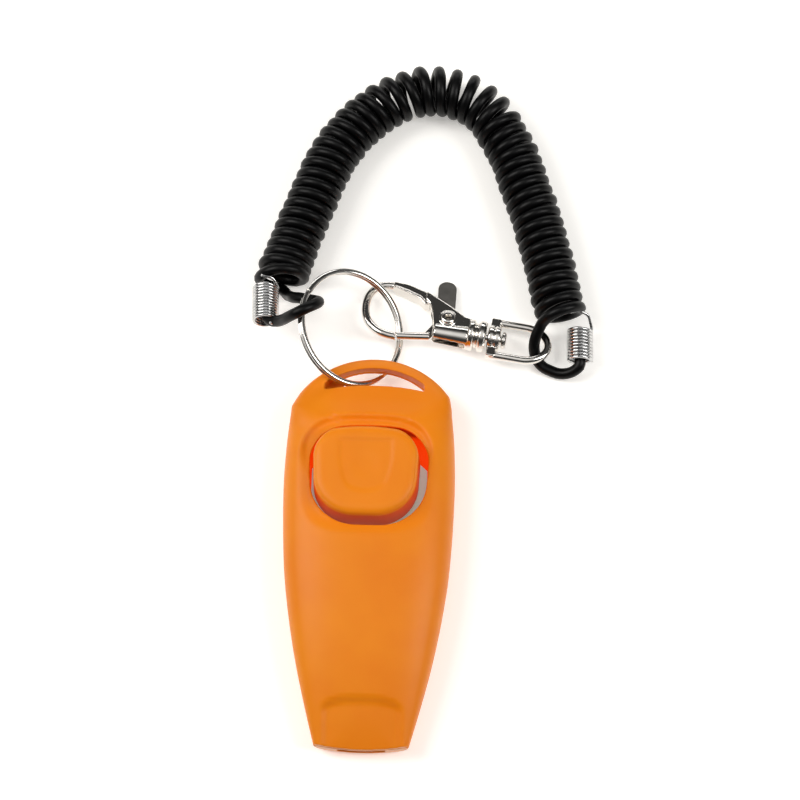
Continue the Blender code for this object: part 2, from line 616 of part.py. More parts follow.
def swivel_rivet(mat, frame):
    rivet = rod("swivel_rivet", (-1.2 * MM, 0, 0), (5.0 * MM, 0, 0), 1.0 * MM, 18, mat, frame)
    combine(rivet, rod("rivet_head", (4.8 * MM, 0, 0), (6.0 * MM, 0, 0), 1.9 * MM, 20, parent=frame), "UNION")
    return rivet


def ferrule(name, ends, mat):
    """A wound wire sleeve, open right through, with the cord's end inside it."""
    start, end = ends
    sleeve = rod(name, start, end, FERRULE_RADIUS, 24, mat)
    along = (end - start).normalized()
    combine(sleeve, rod(name + "_bore", start - along * MM, end + along * MM, 1.7 * MM, 16), "DIFFERENCE")
    return sleeve


def cord(mat):
    coil = smooth_path([Vector((x, y, COIL_Z)) * MM for x, y in COIL], 4 * MM)
    curve_tube("cord_coil", coil, COIL_RADIUS, 4, mat)
    step = 2.0 * MM
    curve_tube("cord_loop_ring", smooth_path([Vector(p) * MM for p in LOOP_RING], step), CORD_RADIUS, 2, mat)
    curve_tube("cord_loop_clasp", smooth_path([Vector(p) * MM for p in LOOP_CLASP], step), CORD_RADIUS, 2, mat)


def build():
    clear_objects()
    orange = (0.79, 0.22, 0.012)
    front_shell(material("front_plastic", orange, 0.38))
    rear_shell(material("rear_plastic", orange, 0.38))
    button(material("button_plastic", (0.83, 0.27, 0.02), 0.36))
    whistle_block(material("whistle_plastic", orange, 0.45))
    leaf(material("leaf_steel", (0.55, 0.54, 0.52), 0.28, 1.0))
    leaf_clamp(material("clamp_plastic", orange, 0.45))
    screw_steel = material("screw_steel", (0.5, 0.5, 0.5), 0.35, 1.0)
    leaf_screw("leaf_screw_left", -SCREW_X, screw_steel)
    leaf_screw("leaf_screw_right", SCREW_X, screw_steel)
    split_ring(material("ring_steel", (0.74, 0.72, 0.69), 0.14, 1.0))
    frame = empty("clasp_frame", CLASP_ORIGIN, Euler((CLASP_ROLL, 0.0, CLASP_HEADING)))
    clasp_body(material("clasp_chrome", (0.72, 0.69, 0.65), 0.12, 1.0), frame)
    clasp_gate(material("gate_chrome", (0.7, 0.67, 0.63), 0.16, 1.0), frame)
    gate_pin(material("pin_steel", (0.6, 0.58, 0.55), 0.2, 1.0), frame)
    gate_spring(material("spring_steel", (0.5, 0.5, 0.5), 0.3, 1.0), frame)
    swivel_eye(material("eye_chrome", (0.72, 0.69, 0.65), 0.12, 1.0), frame)
    swivel_rivet(material("rivet_steel", (0.6, 0.58, 0.55), 0.2, 1.0), frame)
    ferrule_wire = material("ferrule_wire", (0.75, 0.74, 0.73), 0.2, 1.0)
    ferrule("ferrule_ring", FERRULE_RING, ferrule_wire)
    ferrule("ferrule_clasp", FERRULE_CLASP, ferrule_wire)
    cord(material("cord_rubber", (0.008, 0.008, 0.009), 0.4))


build()
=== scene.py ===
"""Looks for the whistle and clicker trainer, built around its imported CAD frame.

Metres, +Z out of the button's face, +Y towards the lanyard arch.
"""

from math import acos, cos, hypot, pi, radians, sin, sqrt, tan

import bmesh
import bpy
from mathutils import Euler, Matrix, Vector


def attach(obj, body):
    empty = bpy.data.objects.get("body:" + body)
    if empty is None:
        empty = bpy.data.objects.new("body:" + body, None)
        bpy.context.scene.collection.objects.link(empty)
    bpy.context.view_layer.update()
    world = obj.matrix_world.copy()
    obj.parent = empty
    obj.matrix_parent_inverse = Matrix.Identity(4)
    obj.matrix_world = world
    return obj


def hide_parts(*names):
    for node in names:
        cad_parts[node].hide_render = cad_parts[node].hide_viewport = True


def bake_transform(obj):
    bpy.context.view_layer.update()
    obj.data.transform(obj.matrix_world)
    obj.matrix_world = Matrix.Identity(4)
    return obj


MM = 0.001

# Camera.
CAMERA_TARGET = Vector((5.9, 23.2, 0)) * MM
CAMERA_DISTANCE = 0.55
CAMERA_ELEVATION = radians(72)
CAMERA_AZIMUTH = radians(4)
CAMERA_ROLL = radians(-2.5)
CAMERA_LENS = 112.5

# Brightness of the room against the sine of the elevation: pale horizon, dark walls, bright soft ceiling.
ROOM = [(0.01, 0.34), (0.22, 0.16), (0.45, 0.04), (0.76, 0.05), (0.88, 0.25), (0.97, 0.8)]

# Lights: name, place, size, power in watts and colour, all aimed at LIGHT_TARGET.
LIGHT_TARGET = (0.008, 0.022, 0.0)
LIGHTS = [
    ("overhead_left", (-0.42, 0.1, 0.5), (0.32, 0.5), 3.05, (1.0, 0.98, 0.95)),
    ("overhead_right", (0.45, -0.05, 0.46), (0.2, 0.45), 2.05, (1.0, 0.99, 0.97)),
    ("far_low", (0.05, 0.75, 0.2), (0.6, 0.16), 1.0, (1.0, 1.0, 1.0)),
]
TABLE_HALF_WIDTH = 1.2
TABLE_GLOW = 0.37

# Housing. SIDE, FRONT and BACK pair a place along Y, in millimetres, with the half width there and with the
# height of the front and back faces.
SIDE = [(-58, 9.0), (-47, 12.0), (-36.7, 14.5), (-26.4, 16.4), (-15.9, 17.7), (0, 18.4), (10.8, 18.1),
        (18, 17.4)]
FRONT = [(-58, 7.0), (-48, 9.6), (-36, 12.1), (-22, 13.9), (-8, 14.6), (6, 14.4), (14, 13.2), (20, 11.0),
         (30, 8.3)]
BACK = [(-58, 2.4), (-50, 0.8), (-40, 0.0), (14, 0.0), (20, 2.4), (25, 4.2), (30, 4.7)]
PART_Z = 5.6 * MM
SEAM = 0.12 * MM
WALL = 1.8 * MM
BLANK_FOOT_Y = -58 * MM
CAVITY_FOOT_Y = -51.5 * MM
CAVITY_TOP_RADIUS = 9.4 * MM
ARCH_CENTRE_X = 0.5 * MM
ARCH_CENTRE_Y = 10.6 * MM
ARCH_RADIUS = 19.6 * MM
ARCH_BAR = 2.6 * MM
SLOT_HALF_WIDTH = 10.8 * MM
SLOT_BASE_Y = 23.2 * MM
REAR_SLOT_LEFT = -6.8 * MM
SHOULDER_ANGLE = radians(32)
END_Y = -55.5 * MM
END_BULGE = 0.9 * MM
SPINE_FOOT_Y = -47.0 * MM
HOUSING_VOXEL = 0.24 * MM
LIP_REST_HALF_WIDTH = 8.7
LIP_REST_Y = -44.5
POST_X = 8.0 * MM
POST_Y = -24.4 * MM
WINDWAY_HALF_WIDTH = 5.0 * MM

# Button.
BUTTON_CORNERS = [(11.4, 10.4), (-11.4, 10.4), (-10.5, -7.6), (10.5, -7.6)]
BUTTON_RADII = [5.0, 5.0, 8.5, 8.5]
BUTTON_BULGE = 1.5 * MM
BUTTON_X = -0.6 * MM
OPENING_MARGIN = 1.5 * MM
BUTTON_BASE_Z = 9.0 * MM
BUTTON_TOP_Z = 17.7 * MM
BUTTON_RIM_Z = 17.68 * MM

# Split ring.
RING_CENTRE = Vector((-5.0, 36.8, 8.4)) * MM
RING_NORMAL = Vector((0.56, -0.03, 0.83)).normalized()
RING_RADIUS = 12.7 * MM
RING_START = radians(74)
RING_WIRE_ACROSS = 0.62 * MM
RING_WIRE_HEIGHT = 0.42 * MM
RING_TURNS = 1.975
RING_GAP = 0.06 * MM

# Clasp: its own frame has +X along the swivel axis to the eye and +Y to the bow of the hook.
CLASP_ORIGIN = Vector((23.2, 37.1, 3.7)) * MM
CLASP_TURN = Euler((radians(-13), 0.0, radians(-9)))
CLASP_VOXEL = 0.1 * MM
HOOK = [(-12.0, 6.2), (-14.4, 7.6), (-17.5, 8.6), (-21.7, 9.2), (-24.4, 8.1), (-26.0, 5.4), (-26.0, 1.8),
        (-24.8, -1.1), (-22.6, -2.9), (-20.3, -3.6), (-18.2, -3.7)]
HOOK_RADIUS = 0.98 * MM
HOOK_TIP_REACH = 12.3 * MM
GATE_PIVOT = Vector((-7.6, 2.0)) * MM
GATE_REACH = 12.0 * MM
GATE_BAR_RADIUS = 0.9 * MM
PIN_HOLE_RADIUS = 1.1 * MM
SWIVEL_BORE_RADIUS = 1.3 * MM
EYE_WIRE_RADIUS = 0.9 * MM

# Cord. COIL, LOOP_RING and LOOP_CLASP are in millimetres.
CORD_RADIUS = 1.25 * MM
CORD_SIDES = 14
COIL_MEAN_RADIUS = 4.48 * MM
COIL_FLARE = 0.3 * MM
COIL_Z = 5.8
COIL_TURNS = 46.67
COIL_STEPS = 26
COIL_START = radians(95)
COIL_PITCH = 2.5
COIL_BEND_OPENING = 0.85
COIL = [(-20.9, 46.8), (-20.6, 50.2), (-17.5, 60.0), (-14.0, 70.0), (-10.6, 78.5), (-7.4, 83.3),
        (-4.0, 87.3), (1.5, 91.8), (7.6, 94.4), (11.0, 95.0), (14.4, 94.8), (17.8, 93.9), (21.0, 92.3),
        (23.5, 90.1), (25.6, 87.7), (27.2, 84.7), (29.8, 79.9), (31.6, 74.8), (33.0, 70.7), (34.7, 66.0),
        (36.0, 61.4), (37.2, 57.2), (38.6, 51.7), (39.7, 46.3), (41.1, 41.3)]
LOOP_RING = [(-19.6, 46.0, 3.0), (-18.7, 44.7, 5.8), (-17.9, 43.5, 8.6), (-16.6, 42.7, 10.6),
             (-14.8, 42.0, 11.7), (-12.9, 41.3, 12.8), (-12.0, 40.3, 14.9), (-12.7, 38.9, 17.1),
             (-14.4, 37.6, 18.3), (-16.4, 36.6, 18.0), (-18.2, 36.4, 16.0), (-19.7, 36.6, 13.3),
             (-21.2, 36.9, 11.3), (-22.6, 37.4, 10.4), (-23.5, 38.6, 10.0), (-23.9, 41.0, 9.4)]
LOOP_CLASP = [(36.4, 39.0, 6.4), (35.5, 37.2, 5.1), (35.1, 35.4, 3.8), (35.3, 33.9, 2.5), (35.9, 32.6, 1.6),
              (37.1, 31.2, 1.4), (38.8, 30.3, 1.4), (40.8, 29.6, 1.6), (43.0, 29.6, 2.3), (44.6, 30.3, 3.3),
              (45.2, 31.3, 3.8), (45.2, 34.5, 3.9)]
CORD_PATH_STEP = 0.7 * MM

# Ferrules: where each winding starts and ends. The hooks continue its wire before and after the winding,
# in millimetres to the side, along and up.
FERRULE_RING = (Vector((-23.7, 37.0, 10.0)) * MM, Vector((-24.2, 46.2, 8.2)) * MM)
FERRULE_RING_TURNS = 12
FERRULE_RING_HOOKS = ([(1.2, -1.0, 1.6), (2.0, -0.9, 0.7)], [(1.6, 0.9, 1.7), (-0.6, 1.3, 2.4)])
FERRULE_CLASP = (Vector((45.2, 31.5, 3.9)) * MM, Vector((45.1, 39.5, 3.9)) * MM)
FERRULE_CLASP_TURNS = 10
FERRULE_CLASP_HOOKS = ([], [(2.3, 0.9, 1.0), (1.6, 2.2, 2.4), (-0.4, 2.9, 3.2), (-2.0, 2.6, 3.2)])
FERRULE_RADIUS = 2.6 * MM
FERRULE_WIRE = 0.35 * MM

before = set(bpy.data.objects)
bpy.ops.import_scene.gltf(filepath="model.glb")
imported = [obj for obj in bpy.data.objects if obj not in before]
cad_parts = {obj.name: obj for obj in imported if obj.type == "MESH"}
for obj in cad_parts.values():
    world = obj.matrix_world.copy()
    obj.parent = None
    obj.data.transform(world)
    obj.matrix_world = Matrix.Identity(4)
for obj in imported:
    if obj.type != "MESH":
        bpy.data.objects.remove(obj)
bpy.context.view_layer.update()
cad_nodes = {obj.name: obj for obj in bpy.context.scene.objects if obj.type == "MESH"}


# ---------------------------------------------------------------- node materials

class Shader:
    """A Principled material with short calls for its nodes."""

    def __init__(self, name):
        self.material = bpy.data.materials.new(name)
        self.material.use_nodes = True
        self.tree = self.material.node_tree
        self.main = self.tree.nodes["Principled BSDF"]

    def node(self, kind, **inputs):
        node = self.tree.nodes.new(kind)
        for key, value in inputs.items():
            self.feed(node.inputs[key.replace("_", " ")], value)
        return node

    def feed(self, socket, value):
        if hasattr(value, "is_output"):
            self.tree.links.new(value, socket)
        else:
            socket.default_value = value

    def set(self, **inputs):
        for key, value in inputs.items():
            self.feed(self.main.inputs[key.replace("_", " ")], value)

    def place(self):
        return self.node("ShaderNodeTexCoord").outputs["Object"]

    def noise(self, scale, detail=3.0, vector=None):
        node = self.node("ShaderNodeTexNoise", Scale=scale, Detail=detail)
        self.feed(node.inputs["Vector"], vector or self.place())
        return node.outputs["Fac"]

    def remap(self, value, low, high, start=0.0, end=1.0):
        node = self.node("ShaderNodeMapRange")
        for index, item in enumerate((value, start, end, low, high)):
            self.feed(node.inputs[index], item)
        return node.outputs[0]

    def math(self, operation, first, second=0.0):
        node = self.node("ShaderNodeMath")
        node.operation = operation
        self.feed(node.inputs[0], first)
        self.feed(node.inputs[1], second)
        return node.outputs[0]

    def axis(self, vector, name):
        node = self.node("ShaderNodeSeparateXYZ")
        self.feed(node.inputs[0], vector)
        return node.outputs[name]

    def mix(self, fraction, first, second):
        node = self.node("ShaderNodeMix")
        node.data_type = "RGBA"
        self.feed(node.inputs[0], fraction)
        self.feed(node.inputs[6], first)
        self.feed(node.inputs[7], second)
        return node.outputs[2]

    def bump(self, height, distance, strength=1.0, normal=None):
        node = self.node("ShaderNodeBump", Height=height, Distance=distance, Strength=strength)
        if normal:
            self.feed(node.inputs["Normal"], normal)
        return node.outputs["Normal"]

    def rounded(self, radius):
        node = self.node("ShaderNodeBevel", Radius=radius)
        node.samples = 6
        return node.outputs["Normal"]

    def edge_mask(self, radius, sharpness=2.5):
        """1 at exposed edges and 0 elsewhere, from the angle between the rounded and the plain normal."""
        plain = self.node("ShaderNodeNewGeometry").outputs["Normal"]
        node = self.node("ShaderNodeVectorMath")
        node.operation = "DOT_PRODUCT"
        self.feed(node.inputs[0], self.rounded(radius))
        self.feed(node.inputs[1], plain)
        gap = self.math("SUBTRACT", 1.0, node.outputs["Value"])
        return self.remap(self.math("MULTIPLY", gap, sharpness), 0.0, 1.0)


def rgb(red, green, blue):
    return (red, green, blue, 1.0)


def orange_plastic(name, base, deep, pale, roughness=0.42, glow_top=None, glow=0.0):
    """Satin ABS with fine moulded grain, a painted highlight on its edges and a painted pale sheen on the
    mouth end. Below glow_top, round the button, a painted glow and a painted deep red shade stand in for
    daylight shining through the walls.
    """
    s = Shader(name)
    cloud = s.noise(60.0, 3.0)
    tint = s.mix(s.remap(cloud, 0.0, 1.0, 0.35, 0.65), base, deep)
    # Painted highlight: rounded edges turn paler, as they look where light grazes them.
    colour = s.mix(s.math("MULTIPLY", s.edge_mask(0.5 * MM), 0.5), tint, pale)
    grain = s.noise(2600.0, 2.0)
    speckle = s.noise(420.0, 2.0)
    rough = s.math("ADD", s.remap(speckle, -0.03, 0.04), roughness)
    facing = s.node("ShaderNodeNewGeometry").outputs["Normal"]
    # Painted highlight: the mouth end face is mixed towards a pale pink, the way light off the table catches
    # it.
    painted_end_sheen = s.remap(s.axis(facing, "Y"), 0.75, 0.0, -0.98, -0.8)
    painted_end_sheen = s.math("MULTIPLY", painted_end_sheen, s.remap(s.axis(s.place(), "Y"), 1.0, 0.0, -53 * MM, -52 * MM))
    colour = s.mix(painted_end_sheen, colour, rgb(0.9, 0.5, 0.3))
    s.set(Subsurface_Weight=0.1, Subsurface_Scale=0.0016)
    s.set(Subsurface_Radius=(1.0, 0.45, 0.15))
    s.set(Specular_IOR_Level=0.25)
    if glow_top:
        across = s.math("ABSOLUTE", s.axis(s.place(), "X"))
        along = s.math("ABSOLUTE", s.math("SUBTRACT", s.axis(s.place(), "Y"), 2.0 * MM))
        height = s.axis(s.place(), "Z")
        facing_up = s.axis(facing, "Z")
        within_x = s.remap(across, 1.0, 0.0, 13.3 * MM, 14.0 * MM)
        within_y = s.remap(along, 1.0, 0.0, 11.6 * MM, 12.4 * MM)
        below = s.remap(height, 1.0, 0.0, glow_top - 0.9 * MM, glow_top)
        upright = s.remap(facing_up, 1.0, 0.0, 0.15, 0.5)
        cavity_floor = s.remap(height, 1.0, 0.0, 7 * MM, 9 * MM)
        not_underside = s.remap(facing_up, 0.0, 1.0, -0.6, -0.3)
        inner_wall = s.math("MULTIPLY", s.math("MAXIMUM", upright, cavity_floor), not_underside)
        within = s.math("MULTIPLY", within_x, within_y)
        strength = s.math("MULTIPLY", s.math("MULTIPLY", below, inner_wall), within)
        # Painted glow: emission on the inner walls round the button stands in for daylight shining through
        # the plastic.
        s.set(Emission_Color=rgb(1.0, 0.045, 0.0), Emission_Strength=s.math("MULTIPLY", strength, glow))
        # Painted shade: the same mask turns the walls a dark saturated red, as they look in shade with light
        # coming through.
        colour = s.mix(s.math("MULTIPLY", strength, 0.8), colour, rgb(0.5, 0.045, 0.0))
    s.set(Base_Color=colour, Roughness=rough)
    s.set(Normal=s.bump(grain, 0.012 * MM, 0.5, s.rounded(0.3 * MM)))
    return s.material


def bright_wire(name, tint):
    """Drawn and plated wire: smooth, with faint draw lines and a little tarnish in places."""
    s = Shader(name)
    tarnish = s.noise(520.0, 3.0)
    dark = tuple(0.6 * c for c in tint[:3]) + (1.0,)
    s.set(Base_Color=s.mix(s.remap(tarnish, 0.0, 0.6, 0.5, 0.8), tint, dark), Metallic=1.0)
    s.set(Roughness=s.remap(s.noise(1500.0, 2.0), 0.1, 0.2))
    s.set(Normal=s.bump(s.noise(2200.0, 1.0), 0.002 * MM, 0.3))
    return s.material


def matte_grip(name):
    """The thumb tab's dark grey coating."""
    s = Shader(name)
    worn = s.edge_mask(0.2 * MM)
    grain = s.noise(1600.0, 3.0)
    patches = s.remap(s.noise(300.0, 3.0), 0.0, 1.0, 0.35, 0.7)
    base = s.mix(patches, rgb(0.05, 0.047, 0.043), rgb(0.085, 0.08, 0.074))
    s.set(Base_Color=s.mix(s.math("MULTIPLY", worn, 0.5), base, rgb(0.16, 0.155, 0.15)))
    s.set(Roughness=s.remap(grain, 0.42, 0.6))
    s.set(Normal=s.bump(grain, 0.02 * MM, 0.5, s.rounded(0.15 * MM)))
    return s.material


def plated_metal(name, tint, roughness=0.13, edge_shade=0.35, round_edge=0.12 * MM):
    """Nickel plate: soft unevenness in the casting, fine scratches and painted shade darkening the edges."""
    s = Shader(name)
    cloud = s.noise(140.0, 3.0)
    scratch_place = s.node("ShaderNodeMapping", Scale=(900.0, 5200.0, 900.0))
    s.feed(scratch_place.inputs["Vector"], s.place())
    scratches = s.noise(1.0, 2.0, scratch_place.outputs["Vector"])
    edge = s.edge_mask(0.2 * MM)
    # Painted shade: exposed edges are darkened towards a darker tint.
    edge_shade_tint = tuple(0.62 * c for c in tint[:3]) + (1.0,)
    colour = s.mix(s.math("MULTIPLY", edge, edge_shade), tint, edge_shade_tint)
    rough = s.math("ADD", s.remap(cloud, -0.03, 0.05), roughness)
    rough = s.math("ADD", rough, s.remap(scratches, 0.0, 0.05, 0.55, 0.8))
    waves = s.bump(s.noise(380.0, 2.0), 0.01 * MM, 0.15, s.rounded(round_edge))
    s.set(Base_Color=colour, Metallic=1.0, Roughness=rough, Normal=waves)
    return s.material


def zinc_sheet(name):
    """The leaf's pale satin zinc finish with faint rolling lines, brightened by a painted greenish glow."""
    s = Shader(name)
    place = s.node("ShaderNodeMapping", Scale=(6000.0, 250.0, 250.0))
    s.feed(place.inputs["Vector"], s.place())
    lines = s.noise(1.0, 3.0, place.outputs["Vector"])
    streaks = s.remap(lines, 0.0, 0.6, 0.4, 0.75)
    s.set(Base_Color=s.mix(streaks, rgb(0.86, 0.85, 0.85), rgb(0.72, 0.71, 0.71)), Metallic=0.25)
    # Painted light: a faint greenish emission brightens the leaf and cancels the red cast, as if lit through
    # the gap.
    s.set(Emission_Color=rgb(0.42, 0.85, 0.72), Emission_Strength=0.22)
    s.set(Roughness=s.remap(lines, 0.38, 0.52), Normal=s.bump(lines, 0.006 * MM, 0.4, s.rounded(0.08 * MM)))
    return s.material


def black_rubber(name):
    """Extruded polyurethane cord: near black, satin, with faint extrusion ripple and dust."""
    s = Shader(name)
    dust = s.noise(900.0, 4.0)
    ripple = s.noise(260.0, 3.0)
    dusty = s.remap(dust, 0.0, 0.35, 0.55, 0.85)
    s.set(Base_Color=s.mix(dusty, rgb(0.0008, 0.0008, 0.001), rgb(0.003, 0.003, 0.0035)))
    s.set(Roughness=s.math("ADD", s.remap(ripple, -0.05, 0.07), 0.36))
    s.set(Specular_IOR_Level=0.16)
    s.set(Normal=s.bump(ripple, 0.03 * MM, 0.35))
    return s.material


# ---------------------------------------------------------------- mesh helpers

def mesh_object(name, points, faces, mat=None, smooth=radians(40)):
    mesh = bpy.data.meshes.new(name)
    mesh.from_pydata([tuple(p) for p in points], [], faces)
    bm = bmesh.new()
    bm.from_mesh(mesh)
    bmesh.ops.remove_doubles(bm, verts=bm.verts, dist=1e-7)
    bmesh.ops.recalc_face_normals(bm, faces=bm.faces)
    bm.to_mesh(mesh)
    bm.free()
    mesh.shade_smooth()
    if smooth:
        mesh.set_sharp_from_angle(angle=smooth)
    obj = bpy.data.objects.new(name, mesh)
    bpy.context.collection.objects.link(obj)
    if mat:
        mesh.materials.append(mat)
    return obj


def combined(name, base, steps, mat, voxel=None, smoothing=0):
    """The base joined with or cut by the listed tools, remeshed for soft edges; the tools are removed."""
    for operation, tool in steps:
        modifier = base.modifiers.new("cut", "BOOLEAN")
        modifier.operation = operation
        modifier.solver = "EXACT"
        modifier.object = tool
    if voxel:
        remesh = base.modifiers.new("remesh", "REMESH")
        remesh.mode = "VOXEL"
        remesh.voxel_size = voxel
        remesh.use_smooth_shade = True
    if smoothing:
        soften = base.modifiers.new("soften", "SMOOTH")
        soften.factor = 0.5
        soften.iterations = smoothing
    evaluated = base.evaluated_get(bpy.context.evaluated_depsgraph_get())
    mesh = bpy.data.meshes.new_from_object(evaluated)
    for _, tool in steps:
        bpy.data.objects.remove(tool)
    bpy.data.objects.remove(base)
    mesh.name = name
    mesh.materials.clear()
    mesh.materials.append(mat)
    obj = bpy.data.objects.new(name, mesh)
    bpy.context.collection.objects.link(obj)
    return obj


def spline(table, y):
    """A smooth value at y through the pairs of the table, both in millimetres."""
    y = min(max(y, table[0][0]), table[-1][0])
    k = next(i for i in range(len(table) - 1) if y <= table[i + 1][0])
    y0, v0 = table[k]
    y1, v1 = table[k + 1]
    slope = (v1 - v0) / (y1 - y0)
    before = slope if k == 0 else (v1 - table[k - 1][1]) / (y1 - table[k - 1][0])
    after = slope if k == len(table) - 2 else (table[k + 2][1] - v0) / (table[k + 2][0] - y0)
    t = (y - y0) / (y1 - y0)
    h = y1 - y0
    return ((2 * t**3 - 3 * t**2 + 1) * v0 + (t**3 - 2 * t**2 + t) * h * before
            + (-2 * t**3 + 3 * t**2) * v1 + (t**3 - t**2) * h * after)


def profile(table, y):
    return spline(table, y / MM) * MM


def smoothstep(t):
    t = min(max(t, 0.0), 1.0)
    return t * t * (3 - 2 * t)


def rounded_outline(corners, radii, margin=0.0, steps=12, bulge=0.0):
    points = [Vector(c) * MM for c in corners]
    outline = []
    for k, corner in enumerate(points):
        before = (points[k - 1] - corner).normalized()
        after = (points[(k + 1) % len(points)] - corner).normalized()
        half = acos(max(-1.0, min(1.0, before.dot(after)))) / 2
        radius = radii[k] * MM
        middle = corner + (before + after).normalized() * (radius / sin(half))
        start = corner + before * (radius / tan(half)) - middle
        for i in range(steps + 1):
            arm = Matrix.Rotation((pi - 2 * half) * i / steps, 2) @ start
            outline.append(middle + arm * ((radius + margin) / radius))
    outline = resampled(outline, 160)
    if bulge:
        widest = max(p.x for p in outline)
        for p in outline:
            if p.y > 0:
                p.y += bulge * (1 - (p.x / widest) ** 2)
    return outline


def resampled(outline, count):
    """A closed outline with points evenly spaced."""
    closed = outline + [outline[0]]
    lengths = [0.0]
    for a, b in zip(closed, closed[1:]):
        lengths.append(lengths[-1] + (b - a).length)
    out = []
    k = 0
    for i in range(count):
        target = lengths[-1] * i / count
        while lengths[k + 1] < target:
            k += 1
        t = (target - lengths[k]) / max(lengths[k + 1] - lengths[k], 1e-12)
        out.append(closed[k].lerp(closed[k + 1], t))
    return out


def prism(name, outline, low, high):
    count = len(outline)
    points = [(p[0], p[1], low) for p in outline] + [(p[0], p[1], high) for p in outline]
    faces = [tuple(reversed(range(count))), tuple(range(count, 2 * count))]
    for i in range(count):
        j = (i + 1) % count
        faces.append((i, j, count + j, count + i))
    return mesh_object(name, points, faces)


def block(name, x, y, z):
    return prism(name, [(x[0], y[0]), (x[1], y[0]), (x[1], y[1]), (x[0], y[1])], z[0], z[1])


def chamfered(obj, width, segments=3):
    """The solid with its edges rounded off by the width."""
    bm = bmesh.new()
    bm.from_mesh(obj.data)
    edges = [edge for edge in bm.edges if edge.calc_face_angle(0.0) > radians(40)]
    bmesh.ops.bevel(bm, geom=edges, offset=width, segments=segments, profile=0.5, affect="EDGES",
                    clamp_overlap=True)
    bm.to_mesh(obj.data)
    bm.free()
    return obj


def rod(name, start, end, radius, sides=48):
    start, end = Vector(start), Vector(end)
    turn = (end - start).to_track_quat("Z", "Y")
    outline = [(radius * cos(2 * pi * i / sides), radius * sin(2 * pi * i / sides)) for i in range(sides)]
    obj = prism(name, outline, 0.0, (end - start).length)
    obj.data.transform(Matrix.Translation(start) @ turn.to_matrix().to_4x4())
    return obj


def turned(name, points, sides=48):
    """A solid turned about local X from (x, radius) pairs, which start and end on the axis."""
    vertices = []
    for x, radius in points:
        for i in range(sides):
            angle = 2 * pi * i / sides
            vertices.append((x, radius * cos(angle), radius * sin(angle)))
    faces = []
    for ring in range(len(points) - 1):
        for i in range(sides):
            j = (i + 1) % sides
            low, high = ring * sides, (ring + 1) * sides
            faces.append((low + i, low + j, high + j, high + i))
    return mesh_object(name, vertices, faces)


def smooth_path(points, step):
    pts = [Vector(p) for p in points]
    ends = [pts[0] * 2 - pts[1]] + pts + [pts[-1] * 2 - pts[-2]]
    out = []
    for k in range(1, len(ends) - 2):
        p0, p1, p2, p3 = ends[k - 1:k + 3]
        pieces = max(1, round((p2 - p1).length / step))
        for i in range(pieces):
            t = i / pieces
            out.append(0.5 * (2 * p1 + (p2 - p0) * t + (2 * p0 - 5 * p1 + 4 * p2 - p3) * t**2
                              + (3 * p1 - p0 - 3 * p2 + p3) * t**3))
    return out + [pts[-1]]


def swept(name, path, section, mat=None, round_ends=0, up=None):
    """A bar along a path. section lists (across, up) offsets; with up given, that side stays upward."""
    count = len(path)
    sides = len(section)
    tangents = [(path[min(i + 1, count - 1)] - path[max(i - 1, 0)]).normalized() for i in range(count)]
    normal = up if up else tangents[0].orthogonal().normalized()
    rings = []
    for i, tangent in enumerate(tangents):
        if up:
            normal = (up - tangent * up.dot(tangent)).normalized()
        elif i:
            normal = tangents[i - 1].rotation_difference(tangent) @ normal
        rings.append((path[i], tangent, normal, 1.0))
    reach = max(hypot(*p) for p in section)
    caps_start, caps_end = [], []
    for i in range(1, round_ends + 1):
        angle = pi / 2 * i / (round_ends + 0.35)
        point, tangent, normal, _ = rings[0]
        caps_start.insert(0, (point - tangent * reach * sin(angle), tangent, normal, cos(angle)))
        point, tangent, normal, _ = rings[-1]
        caps_end.append((point + tangent * reach * sin(angle), tangent, normal, cos(angle)))
    rings = caps_start + rings + caps_end
    points = []
    for point, tangent, normal, scale in rings:
        side = tangent.cross(normal)
        for across, lift in section:
            points.append(point + (side * across + normal * lift) * scale)
    faces = [tuple(reversed(range(sides))), tuple(range((len(rings) - 1) * sides, len(rings) * sides))]
    for i in range(len(rings) - 1):
        for j in range(sides):
            k = (j + 1) % sides
            a, b = i * sides, (i + 1) * sides
            faces.append((a + j, a + k, b + k, b + j))
    return mesh_object(name, points, faces, mat, smooth=radians(60))


def round_section(radius, sides):
    return [(radius * cos(2 * pi * j / sides), radius * sin(2 * pi * j / sides)) for j in range(sides)]


# ---------------------------------------------------------------- camera, light and table

def add_camera():
    tilt, turn = CAMERA_ELEVATION, CAMERA_AZIMUTH
    back = Vector((sin(turn) * cos(tilt), -cos(turn) * cos(tilt), sin(tilt)))
    right = Vector((cos(turn), sin(turn), 0))
    up = back.cross(right)
    axes = Matrix((right * cos(CAMERA_ROLL) + up * sin(CAMERA_ROLL),
                   up * cos(CAMERA_ROLL) - right * sin(CAMERA_ROLL), back)).transposed()
    camera = bpy.data.objects.new("camera", bpy.data.cameras.new("camera"))
    camera.data.lens = CAMERA_LENS
    camera.data.clip_start = 0.01
    camera.matrix_world = Matrix.Translation(CAMERA_TARGET + back * CAMERA_DISTANCE) @ axes.to_4x4()
    bpy.context.collection.objects.link(camera)
    bpy.context.scene.camera = camera


def add_light(name, place, size, power, colour):
    data = bpy.data.lights.new(name, "AREA")
    data.shape = "RECTANGLE"
    data.size, data.size_y = size
    data.energy = power
    data.color = colour
    light = bpy.data.objects.new(name, data)
    light.location = place
    light.rotation_euler = (Vector(LIGHT_TARGET) - Vector(place)).to_track_quat("-Z", "Y").to_euler()
    bpy.context.collection.objects.link(light)


